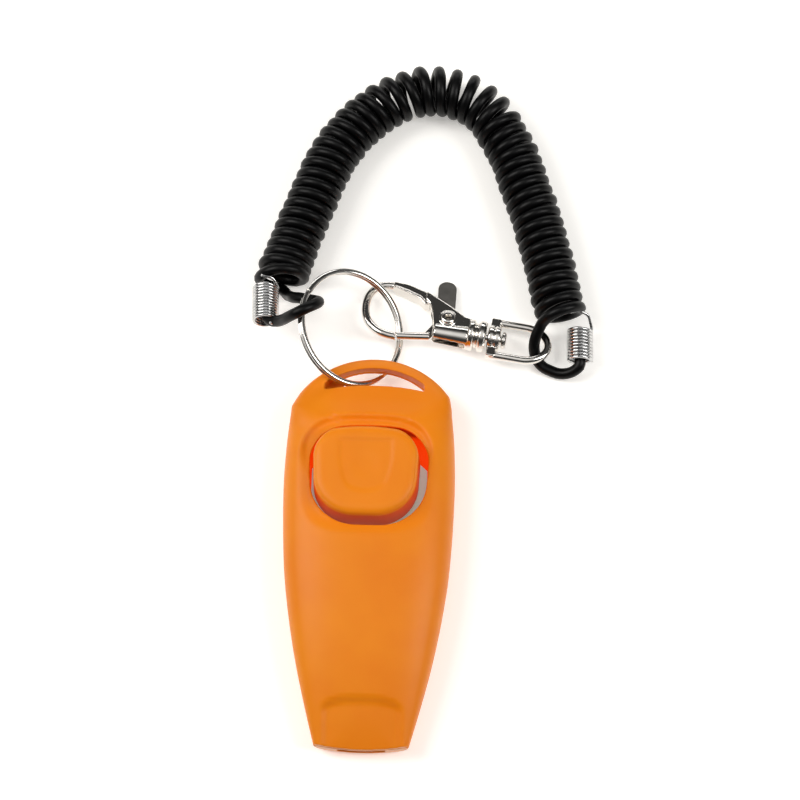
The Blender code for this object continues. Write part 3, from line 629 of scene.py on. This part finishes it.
def add_studio():
    scene = bpy.context.scene
    scene.view_settings.view_transform = "Standard"
    scene.view_settings.look = "None"
    world = bpy.data.worlds.new("studio")
    world.use_nodes = True
    background = world.node_tree.nodes["Background"]
    direction = world.node_tree.nodes.new("ShaderNodeTexCoord").outputs["Generated"]
    parts = world.node_tree.nodes.new("ShaderNodeSeparateXYZ")
    ramp = world.node_tree.nodes.new("ShaderNodeValToRGB")
    ramp.color_ramp.interpolation = "EASE"
    for place, level in ROOM:
        stop = ramp.color_ramp.elements.new(place)
        stop.color = rgb(level, 0.99 * level, 0.97 * level)
    world.node_tree.links.new(direction, parts.inputs[0])
    world.node_tree.links.new(parts.outputs["Z"], ramp.inputs["Fac"])
    world.node_tree.links.new(ramp.outputs["Color"], background.inputs["Color"])
    background.inputs["Strength"].default_value = 1.0
    scene.world = world
    for name, place, size, power, colour in LIGHTS:
        add_light(name, place, size, power, colour)


def add_table():
    half = TABLE_HALF_WIDTH
    corners = [(-half, -half, 0), (half, -half, 0), (half, half, 0), (-half, half, 0)]
    table = mesh_object("table_top", corners, [(0, 1, 2, 3)])
    s = Shader("backlit_acrylic")
    s.set(Base_Color=rgb(0.9, 0.89, 0.87), Roughness=0.6)
    s.set(Emission_Color=rgb(1.0, 0.975, 0.93), Emission_Strength=TABLE_GLOW)
    table.data.materials.append(s.material)


# ---------------------------------------------------------------- cord and ferrules

def coil_centre_line():
    return smooth_path([Vector((x, y, COIL_Z)) * MM for x, y in COIL], 0.25 * MM)


def coil_helix():
    """The wound cord's centreline: turns touch along the legs, open round the bend, flare at the ring end."""
    line = coil_centre_line()
    lengths = [0.0]
    for a, b in zip(line, line[1:]):
        lengths.append(lengths[-1] + (b - a).length)
    total = lengths[-1]
    phase = [0.0]
    for k in range(1, len(line)):
        share = lengths[k] / total
        opening = smoothstep((share - 0.35) / 0.09) * (1 - smoothstep((share - 0.59) / 0.09))
        pitch = (COIL_PITCH + COIL_BEND_OPENING * opening) * MM
        phase.append(phase[-1] + (lengths[k] - lengths[k - 1]) / pitch)
    out = []
    count = int(COIL_TURNS * COIL_STEPS)
    k = 0
    for i in range(count + 1):
        share = i / count
        target = phase[-1] * share
        while k < len(phase) - 2 and phase[k + 1] < target:
            k += 1
        t = (target - phase[k]) / (phase[k + 1] - phase[k])
        along = (line[min(k + 2, len(line) - 1)] - line[max(k - 1, 0)]).normalized()
        side = along.cross(Vector((0, 0, 1))).normalized()
        turn = share * COIL_TURNS
        angle = -COIL_START - 2 * pi * turn
        flare = COIL_FLARE * (1 - smoothstep(turn / 3.5))
        wander = 0.06 * MM * sin(turn * 2.3) + 0.04 * MM * sin(turn * 5.1)
        centre = line[k].lerp(line[k + 1], t) + Vector((0, 0, flare + abs(wander)))
        last = smoothstep((turn - COIL_TURNS + 0.8) / 0.75)
        inward = 1.3 * MM * (1 - smoothstep(share * 9)) + 0.3 * MM * last
        reach = COIL_MEAN_RADIUS + flare + wander
        out.append(centre + along * inward + (side * cos(angle) + Vector((0, 0, 1)) * sin(angle)) * reach)
    return out


def cord_route():
    ring_end = smooth_path([Vector(p) * MM for p in reversed(LOOP_RING)], CORD_PATH_STEP)
    clasp_end = smooth_path([Vector(p) * MM for p in LOOP_CLASP], CORD_PATH_STEP)
    helix = coil_helix()
    into = smooth_path([ring_end[-3], ring_end[-1], helix[0], helix[3]], CORD_PATH_STEP)
    out_of = smooth_path([helix[-4], helix[-1], clasp_end[0], clasp_end[2]], CORD_PATH_STEP)
    start = nearest_index(into, ring_end[-1])
    end = nearest_index(into, helix[0])
    leave = nearest_index(out_of, helix[-1])
    arrive = nearest_index(out_of, clasp_end[0])
    return ring_end[:-1] + into[start:end] + helix[:-1] + out_of[leave:arrive] + clasp_end


def nearest_index(path, point):
    return min(range(len(path)), key=lambda i: (path[i] - point).length)


def add_cord(mat):
    route = cord_route()
    cord = swept("curly_cord", route, round_section(CORD_RADIUS, CORD_SIDES), mat, round_ends=3)
    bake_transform(cord)
    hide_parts("cord_coil", "cord_loop_ring", "cord_loop_clasp")
    return cord, route


def wound_sleeve(name, ends, turns, hooks, mat, body, node):
    """A close-wound wire sleeve. hooks lists the points its wire reaches before and after the winding."""
    start, end = ends
    along = (end - start).normalized()
    side = along.cross(Vector((0, 0, 1))).normalized()
    up = side.cross(along)
    span = (end - start).length - 2 * FERRULE_WIRE
    steps = 48
    path = []
    for i in range(turns * steps + 1):
        angle = 2 * pi * i / steps
        place = start + along * (FERRULE_WIRE + span * i / (turns * steps))
        path.append(place + (side * cos(angle) + up * sin(angle)) * FERRULE_RADIUS)
    before, after = hooks
    lead = [start + (side * x + up * z + along * y) * MM for x, y, z in before]
    trail = [end + (side * x + up * z + along * y) * MM for x, y, z in after]
    if lead:
        path = smooth_path(lead + [path[0], path[4]], 0.15 * MM)[:-1] + path[5:]
    if trail:
        path = path[:-5] + smooth_path([path[-5], path[-1]] + trail, 0.15 * MM)
    sleeve = swept(name, path, round_section(FERRULE_WIRE, 10), mat, round_ends=2)
    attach(sleeve, body)
    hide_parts(node)
    return sleeve


# ---------------------------------------------------------------- housing and button

def housing_outline(inset, top_radius, foot_y, side_steps=96, arc_steps=110):
    shoulder_y = ARCH_CENTRE_Y + (ARCH_RADIUS * sin(SHOULDER_ANGLE)) - 2.4 * MM
    right = []
    for i in range(side_steps + 1):
        y = foot_y + (shoulder_y - foot_y) * i / side_steps
        right.append((profile(SIDE, y) - inset, y))
    half_width = right[-1][0]
    arc = []
    for i in range(1, arc_steps):
        angle = SHOULDER_ANGLE + (pi - 2 * SHOULDER_ANGLE) * i / arc_steps
        x = ARCH_CENTRE_X + top_radius * cos(angle)
        y = ARCH_CENTRE_Y + top_radius * sin(angle)
        arc.append((max(-half_width, min(half_width, x)), y))
    left = [(-x, y) for x, y in reversed(right)]
    foot = [(x / 8 * (profile(SIDE, foot_y) - inset), foot_y) for x in range(-7, 8)]
    return right + arc + left + foot


def face_height(x, y, fraction, side, inset):
    roundness = 3.0 + 2.5 * smoothstep((y / MM - 12) / 10)
    swell = (1 - (1 - fraction) ** roundness) ** (1 / roundness)
    if side > 0:
        height = PART_Z + (profile(FRONT, y) - inset - PART_Z) * swell
        return height - (rim_dish(x, y) + lip_rest(x, y) if inset == 0 else 0.0)
    floor_z = max(0.0, profile(BACK, y)) + inset
    depth = PART_Z - floor_z
    return max(floor_z, PART_Z - (depth + 0.3 * MM) * (1 - (1 - fraction) ** 5) ** 0.2)


def rim_dish(x, y):
    """The sunken margin round the button's opening, deepest and crispest above it."""
    across = abs(x - BUTTON_X) / (14.9 * MM)
    along = abs(y - 2.2 * MM) / (13.7 * MM)
    reach = (across**3.2 + along**3.2) ** (1 / 3.2)
    top = smoothstep((y / MM - 2) / 8)
    edge = 0.10 + 0.12 * (1 - top)
    return (0.6 + 0.55 * top) * MM * smoothstep((1.0 - reach) / edge)


def lip_rest(x, y):
    """The step for the upper lip near the mouth end: an arched soft slope above and soft sides."""
    half = LIP_REST_HALF_WIDTH
    u, v = abs(x) / MM, y / MM
    crown = LIP_REST_Y - 1.9 * min(u / half, 1.0) ** 3.2
    return 1.0 * MM * smoothstep((half + 0.3 - u) / 2.2) * smoothstep((crown - v) / 2.0)


def dome(name, side, inset, top_radius, foot_y, base_z):
    outline = housing_outline(inset, top_radius, foot_y)
    count = len(outline)
    rings = 56
    fractions = [(i / rings) ** 2.2 for i in range(rings + 1)]
    points = [(x, y, base_z) for x, y in outline]
    for fraction in fractions:
        for x0, y0 in outline:
            spine_y = min(max(y0, SPINE_FOOT_Y), ARCH_CENTRE_Y)
            x = x0 * (1 - fraction)
            y = y0 + (spine_y - y0) * fraction
            height = face_height(x, y, fraction, side, inset)
            points.append((x, y, max(height, base_z) if side > 0 else min(height, base_z)))
    faces = [tuple(reversed(range(count)))]
    for ring in range(len(fractions)):
        for i in range(count):
            j = (i + 1) % count
            low, high = ring * count, (ring + 1) * count
            faces.append((low + i, low + j, high + j, high + i))
    return mesh_object(name, points, faces)


def arch_slot(left=-SLOT_HALF_WIDTH):
    inner = ARCH_RADIUS - ARCH_BAR
    half = SLOT_HALF_WIDTH
    steps = 60
    top = []
    bottom = []
    for i in range(steps + 1):
        x = half + (left - half) * i / steps
        top.append((ARCH_CENTRE_X + x, ARCH_CENTRE_Y + sqrt(inner**2 - x**2)))
        bottom.insert(0, (ARCH_CENTRE_X + x, SLOT_BASE_Y - 1.2 * MM * (x / half) ** 2))
    return top + bottom


def mouth_end_cutter(name):
    half = 16 * MM
    steps = 50
    edge = []
    for i in range(steps + 1):
        x = half * (2 * i / steps - 1)
        edge.append((x, END_Y + END_BULGE * (x / (10 * MM)) ** 2))
    return prism(name, [(-half, -70 * MM), (half, -70 * MM)] + list(reversed(edge)), -5 * MM, 20 * MM)


def add_front_shell(mat):
    opening = rounded_outline(BUTTON_CORNERS, BUTTON_RADII, OPENING_MARGIN, bulge=BUTTON_BULGE)
    steps = [
        ("DIFFERENCE", dome("front_cavity", 1, WALL, CAVITY_TOP_RADIUS, CAVITY_FOOT_Y, PART_Z - MM)),
        ("DIFFERENCE", prism("button_opening", opening, PART_Z - MM, 20 * MM)),
        ("DIFFERENCE", prism("front_slot", arch_slot(), -5 * MM, 20 * MM)),
        ("DIFFERENCE", mouth_end_cutter("front_end")),
    ]
    base = dome("front_blank", 1, 0.0, ARCH_RADIUS, BLANK_FOOT_Y, PART_Z + SEAM)
    shell = combined("front_housing", base, steps, mat, HOUSING_VOXEL, 3)
    finish_piece(shell, "housing", "housing", "front_shell")


def add_rear_shell(mat):
    half = WINDWAY_HALF_WIDTH
    steps = [
        ("DIFFERENCE", dome("rear_cavity", -1, WALL, CAVITY_TOP_RADIUS, CAVITY_FOOT_Y, PART_Z + MM)),
        ("UNION", block("leaf_seat", (-12 * MM, 12 * MM), (-27 * MM, -20.6 * MM), (5.1 * MM, 6.5 * MM))),
    ]
    for x in (-POST_X, POST_X):
        steps.append(("UNION", rod("post", (x, POST_Y, 1.2 * MM), (x, POST_Y, 6.1 * MM), 2.4 * MM)))
        steps.append(("DIFFERENCE", rod("post_hole", (x, POST_Y, 2.4 * MM), (x, POST_Y, 9 * MM), 1.3 * MM)))
    steps += [
        ("DIFFERENCE", block("windway", (-half, half), (BLANK_FOOT_Y, -50 * MM), (2.8 * MM, 4.5 * MM))),
        ("DIFFERENCE", block("window", (-half, half), (-43.0 * MM, -38.5 * MM), (-2 * MM, 4 * MM))),
        ("DIFFERENCE", prism("rear_slot", arch_slot(REAR_SLOT_LEFT), -5 * MM, 20 * MM)),
        ("DIFFERENCE", mouth_end_cutter("rear_end")),
    ]
    base = dome("rear_blank", -1, 0.0, ARCH_RADIUS, BLANK_FOOT_Y, PART_Z - SEAM)
    shell = combined("rear_housing", base, steps, mat, HOUSING_VOXEL, 3)
    finish_piece(shell, "housing", "housing", "rear_shell")


def finish_piece(piece, body, slot, *nodes):
    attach(piece, body)
    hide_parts(*nodes)


def thumb_dish(x, y):
    """Depth of the shield-shaped dish in the button's face, flat along its upper edge and round below."""
    u, v = x / MM, y / MM
    half = 6.3 - 0.03 * max(0.0, 6.0 - v) ** 2
    bottom = -3.6 + 0.075 * u * u
    inside = smoothstep((half - abs(u)) / 1.3) * smoothstep((9.2 - v) / 1.0) * smoothstep((v - bottom) / 1.8)
    deeper = smoothstep((3.4 - hypot(u, (v - 3.2) * 0.9)) / 2.2)
    return (0.22 * inside + 0.09 * deeper) * MM


def add_button(mat):
    profile_rings = [(BUTTON_BASE_Z, 0.35), (11.0 * MM, 0.28), (13.5 * MM, 0.16), (15.4 * MM, 0.05),
                     (16.1 * MM, 0.0), (16.6 * MM, -0.08), (17.0 * MM, -0.24), (17.3 * MM, -0.5),
                     (17.5 * MM, -0.85), (17.62 * MM, -1.3), (BUTTON_RIM_Z, -1.9)]
    points = []
    for z, margin in profile_rings:
        outline = rounded_outline(BUTTON_CORNERS, BUTTON_RADII, margin * MM, bulge=BUTTON_BULGE)
        points += [(p.x, p.y, z) for p in outline]
    count = len(outline)
    middle = Vector((0.0, 2.8 * MM))
    inner_rings = 34
    for ring in range(1, inner_rings + 1):
        share = 1 - ring / inner_rings
        for p in outline:
            q = middle + (p - middle) * share
            lift = 0.05 * MM * (1 - share**2)
            points.append((q.x, q.y, BUTTON_RIM_Z + lift - thumb_dish(q.x, q.y)))
    rings = len(profile_rings) + inner_rings
    faces = []
    for ring in range(rings - 1):
        for i in range(count):
            j = (i + 1) % count
            low, high = ring * count, (ring + 1) * count
            faces.append((low + i, low + j, high + j, high + i))
    underside = rounded_outline(BUTTON_CORNERS, BUTTON_RADII, -1.3 * MM, bulge=BUTTON_BULGE)
    base = len(points)
    points += [(p.x, p.y, BUTTON_BASE_Z) for p in underside]
    points += [(p.x, p.y, BUTTON_TOP_Z - 2.0 * MM) for p in underside]
    for i in range(count):
        j = (i + 1) % count
        faces.append((j, i, base + i, base + j))
        faces.append((base + j, base + i, base + count + i, base + count + j))
    faces.append(tuple(base + count + i for i in range(count)))
    cap = mesh_object("thumb_button", points, faces, smooth=radians(50))
    steps = [
        ("UNION", rod("boss", (0, 2.4 * MM, 7.9 * MM), (0, 2.4 * MM, 16.5 * MM), 2.6 * MM)),
        ("UNION", block("lug", (-4.0 * MM, 4.0 * MM), (11.4 * MM, 14.2 * MM), (BUTTON_BASE_Z, 10.0 * MM))),
    ]
    piece = combined("thumb_button", cap, steps, mat)
    piece.data.transform(Matrix.Translation((BUTTON_X, 0, 0)))
    piece.data.set_sharp_from_angle(angle=radians(45))
    finish_piece(piece, "button", "button_plastic", "button")


# ---------------------------------------------------------------- ring and clasp

def add_split_ring(mat):
    """Two turns of wire that cross over once, with their cut ends showing as small steps."""
    turn = RING_NORMAL.to_track_quat("Z", "Y")
    steps = 300
    sweep = 2 * pi * RING_TURNS
    path = []
    for i in range(steps + 1):
        angle = RING_START + sweep * i / steps
        share = smoothstep((i / steps - 0.47) / 0.06)
        lift = (share - 0.5) * (2 * RING_WIRE_HEIGHT + RING_GAP)
        path.append(RING_CENTRE + turn @ Vector((cos(angle) * RING_RADIUS, sin(angle) * RING_RADIUS, lift)))
    section = [(x * RING_WIRE_ACROSS, y * RING_WIRE_HEIGHT) for x, y in round_section(1.0, 20)]
    ring = swept("split_key_ring", path, section, mat, up=RING_NORMAL)
    finish_piece(ring, "ring", "ring_steel", "split_ring")


def place_on_clasp(obj):
    obj.data.transform(Matrix.Translation(CLASP_ORIGIN) @ CLASP_TURN.to_matrix().to_4x4())


def millimetres(pairs):
    return [(x * MM, y * MM) for x, y in pairs]


def add_clasp_body(mat):
    """Hook, ribbed arm, forked body with a round lower half, and the collar's two rings."""
    hook = smooth_path([Vector((x, y, 0)) * MM for x, y in HOOK], 0.4 * MM)
    base = swept("hook", hook, round_section(HOOK_RADIUS, 24))
    plate = [(-13.4, 8.5), (-7.8, 5.7), (-4.0, 3.5), (-2.0, 3.1), (-2.0, -1.2), (-10.4, -1.4), (-10.7, 0.4),
             (-11.2, 2.8), (-12.3, 5.2), (-13.4, 6.3)]
    arm = [(-21.0, 9.9), (-17.5, 9.7), (-12.7, 8.3), (-11.6, 6.5), (-12.2, 5.0), (-14.4, 6.8), (-17.2, 7.6),
           (-21.0, 8.3)]
    inner_rib = [(-20.5, 8.6), (-17.3, 7.9), (-14.5, 7.0), (-12.5, 5.3), (-13.2, 5.0), (-14.8, 6.4),
                 (-17.4, 7.3), (-20.5, 8.2)]
    collar = [(-2.7, 0), (-2.7, 3.1), (-2.4, 3.5), (-1.6, 3.6), (-1.3, 3.3), (-1.1, 2.8), (-0.6, 2.8),
              (-0.4, 3.3), (0.0, 3.6), (0.9, 3.5), (1.3, 3.1), (1.3, 0)]
    trunk = [(-10.5, 0), (-10.5, 1.7), (-10.0, 2.2), (-6.0, 2.35), (-2.0, 2.6), (-2.0, 0)]
    trunk_solid = turned("trunk", millimetres(trunk))
    trunk_solid.data.transform(Matrix.Translation((0, -0.95 * MM, 0)))
    px, py = GATE_PIVOT
    steps = [
        ("UNION", chamfered(prism("plate", millimetres(plate), -1.95 * MM, 1.95 * MM), 0.45 * MM)),
        ("UNION", chamfered(prism("arm", millimetres(arm), -1.3 * MM, 1.3 * MM), 0.35 * MM)),
        ("UNION", chamfered(prism("inner_rib", millimetres(inner_rib), -1.5 * MM, 1.5 * MM), 0.15 * MM)),
        ("UNION", trunk_solid),
        ("UNION", turned("collar", millimetres(collar))),
        ("UNION", rod("pin_boss", (px, py, -2.1 * MM), (px, py, 2.1 * MM), 1.9 * MM)),
        ("DIFFERENCE", block("lever_slot", (-11.6 * MM, -4.4 * MM), (-4.2 * MM, 12 * MM),
                             (-1.05 * MM, 0.9 * MM))),
        ("DIFFERENCE", block("foot_slot", (-7.4 * MM, -3.0 * MM), (-4.2 * MM, -2.2 * MM),
                             (-0.9 * MM, 0.9 * MM))),
        ("DIFFERENCE", rod("pin_hole", (px, py, -4 * MM), (px, py, 4 * MM), PIN_HOLE_RADIUS)),
        ("DIFFERENCE", rod("bore", (-1.5 * MM, 0, 0), (4 * MM, 0, 0), SWIVEL_BORE_RADIUS)),
        ("DIFFERENCE", tip_cutter()),
    ]
    body = combined("clasp_casting", base, steps, mat, CLASP_VOXEL, 5)
    place_on_clasp(body)
    finish_piece(body, "clasp", "clasp_casting", "clasp_body")


def tip_cutter():
    """Trims the hook's tip to the arc that the gate's end sweeps."""
    outline = [GATE_PIVOT + Vector((-9.0, -4.5)) * MM, GATE_PIVOT + Vector((-8.0, -7.0)) * MM]
    for degrees in range(222, 196, -2):
        outline.append(GATE_PIVOT + Vector((cos(radians(degrees)), sin(radians(degrees)))) * HOOK_TIP_REACH)
    return prism("hook_tip_cut", list(reversed(outline)), -2 * MM, 2 * MM)


def add_clasp_gate(bright, dark):
    px, py = GATE_PIVOT
    base = rod("bar", (-19.3 * MM, -3.7 * MM, 0), (-11.0 * MM, -2.3 * MM, 0), GATE_BAR_RADIUS)
    web = [(-4.2, -5.0), (-3.4, -4.9), (-2.9, -3.8), (1.9, -1.6), (1.9, 1.4), (0.4, 3.0), (-1.4, 3.0),
           (-2.2, 0.6), (-4.4, -3.4)]
    steps = [
        ("UNION", prism("web", [(x * MM + px, y * MM + py) for x, y in web], -0.75 * MM, 0.45 * MM)),
        ("INTERSECT", rod("reach", (px, py, -3 * MM), (px, py, 3 * MM), GATE_REACH, 128)),
        ("DIFFERENCE", rod("hole", (px, py, -3 * MM), (px, py, 3 * MM), PIN_HOLE_RADIUS)),
    ]
    gate = combined("gate_lever", base, steps, bright, CLASP_VOXEL, 3)
    place_on_clasp(gate)
    finish_piece(gate, "gate", "gate_chrome", "clasp_gate")
    corners = [(1.3, 1.5), (0.3, 10.5), (-3.9, 10.5), (-2.6, 1.5)]
    tab_outline = [p + GATE_PIVOT for p in rounded_outline(corners, [0.3, 1.9, 1.9, 0.3])]
    tab = chamfered(prism("tab", tab_outline, -0.8 * MM, 0.5 * MM), 0.2 * MM)
    thumb = combined("thumb_tab", tab, [], dark, CLASP_VOXEL, 2)
    place_on_clasp(thumb)
    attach(thumb, "gate")


def add_pin(mat):
    """A hollow rivet with a rolled rim on each side."""
    px, py = GATE_PIVOT
    half = [(0.55, 0.0), (0.55, 2.5), (0.72, 2.72), (1.05, 2.78), (1.4, 2.62), (1.6, 2.35), (1.6, 2.1),
            (0.95, 2.1)]
    outline = [(-z * MM, radius * MM) for radius, z in reversed(half)]
    outline += [(z * MM, radius * MM) for radius, z in half[1:]]
    outline.append(outline[0])
    pin = turned("gate_rivet", outline, 40)
    pin.data.transform(Matrix.Rotation(radians(-90), 4, "Y"))
    pin.data.transform(Matrix.Translation((px, py, 0)))
    pin.data.materials.append(mat)
    place_on_clasp(pin)
    finish_piece(pin, "clasp", "small_steel", "gate_pin")


def add_eye(mat):
    """The bow of round wire with a flat bridge, and the grooved barrel that turns on the rivet."""
    low, high, straight_end = 3.0, 4.2, 9.6
    route = [Vector((low, high, 0)), Vector((6.0, high, 0))]
    for i in range(17):
        angle = pi / 2 - pi * i / 16
        route.append(Vector((straight_end + 5.5 * cos(angle), high * sin(angle), 0)))
    route += [Vector((6.0, -high, 0)), Vector((low, -high, 0))]
    bow = smooth_path([p * MM for p in route], 0.4 * MM)
    base = swept("bow", bow, round_section(EYE_WIRE_RADIUS, 24), round_ends=3)
    barrel = [(1.7, 0), (1.7, 2.4), (1.95, 2.8), (2.8, 2.85), (3.0, 2.55), (3.2, 2.55), (3.4, 2.85),
              (4.3, 2.8), (4.5, 2.4), (4.5, 0)]
    bridge = block("bridge", (1.9 * MM, 3.9 * MM), (-4.9 * MM, 4.9 * MM), (-0.95 * MM, 0.95 * MM))
    steps = [
        ("UNION", chamfered(bridge, 0.25 * MM)),
        ("UNION", turned("barrel", millimetres(barrel))),
        ("DIFFERENCE", rod("eye_bore", (-1 * MM, 0, 0), (7 * MM, 0, 0), SWIVEL_BORE_RADIUS)),
    ]
    eye = combined("swivel_bow", base, steps, mat, CLASP_VOXEL, 5)
    place_on_clasp(eye)
    finish_piece(eye, "eye", "clasp_casting", "swivel_eye")


def add_rivet(mat):
    outline = [(-1.2, 0), (-1.2, 0.8), (-1.0, 1.0), (4.8, 1.0), (4.8, 1.6), (5.0, 1.88), (5.5, 1.85),
               (5.75, 1.55), (5.6, 1.2), (5.5, 0.9), (5.5, 0)]
    rivet = turned("swivel_stem", millimetres(outline))
    rivet.data.materials.append(mat)
    place_on_clasp(rivet)
    finish_piece(rivet, "clasp", "small_steel", "swivel_rivet")


def dress(node, mat):
    """Give a carried-over CAD node its material."""
    obj = cad_nodes[node]
    obj.data.materials.clear()
    obj.data.materials.append(mat)


# ---------------------------------------------------------------- build

add_camera()
add_studio()
add_table()

rubber = black_rubber("satin_rubber")
wire = bright_wire("bright_wire", rgb(0.6, 0.6, 0.6))
cord_piece, cord_line = add_cord(rubber)
sleeve_ring = wound_sleeve("wire_sleeve_ring", FERRULE_RING, FERRULE_RING_TURNS, FERRULE_RING_HOOKS, wire,
                           "ring", "ferrule_ring")
sleeve_clasp = wound_sleeve("wire_sleeve_clasp", FERRULE_CLASP, FERRULE_CLASP_TURNS, FERRULE_CLASP_HOOKS,
                            wire, "clasp", "ferrule_clasp")

# glow_top and glow set where and how strongly the painted glow and painted deep red shade show round the
# button.
shell_orange = orange_plastic("housing_orange", rgb(0.83, 0.24, 0.004), rgb(0.79, 0.205, 0.002),
                              rgb(0.95, 0.47, 0.12), glow_top=13.6 * MM, glow=0.65)
button_orange = orange_plastic("button_orange", rgb(0.83, 0.235, 0.003), rgb(0.79, 0.21, 0.003),
                               rgb(0.93, 0.42, 0.08), glow_top=16.2 * MM, glow=0.15)
# A deeper red copy of the housing orange for the inner parts: painted shade and red light coming through the
# shell.
shaded_inner_orange = orange_plastic("shaded_inner_orange", rgb(0.85, 0.19, 0.003), rgb(0.8, 0.16, 0.002),
                              rgb(0.9, 0.34, 0.05), 0.45)
add_front_shell(shell_orange)
add_rear_shell(shell_orange)
add_button(button_orange)
add_split_ring(bright_wire("ring_nickel", rgb(0.80, 0.78, 0.75)))
clasp_nickel = plated_metal("clasp_nickel", rgb(0.76, 0.73, 0.69), 0.11)
add_clasp_body(clasp_nickel)
add_clasp_gate(clasp_nickel, matte_grip("tab_grey"))
add_pin(clasp_nickel)
add_eye(clasp_nickel)
add_rivet(clasp_nickel)
dress("whistle_block", shaded_inner_orange)
dress("leaf_clamp", shaded_inner_orange)
dress("clicker_leaf", zinc_sheet("leaf_zinc"))
screw_plate = plated_metal("screw_plate", rgb(0.62, 0.61, 0.58), 0.28)
dress("leaf_screw_left", screw_plate)
dress("leaf_screw_right", screw_plate)
dress("gate_spring", plated_metal("spring_wire", rgb(0.6, 0.6, 0.6), 0.25))
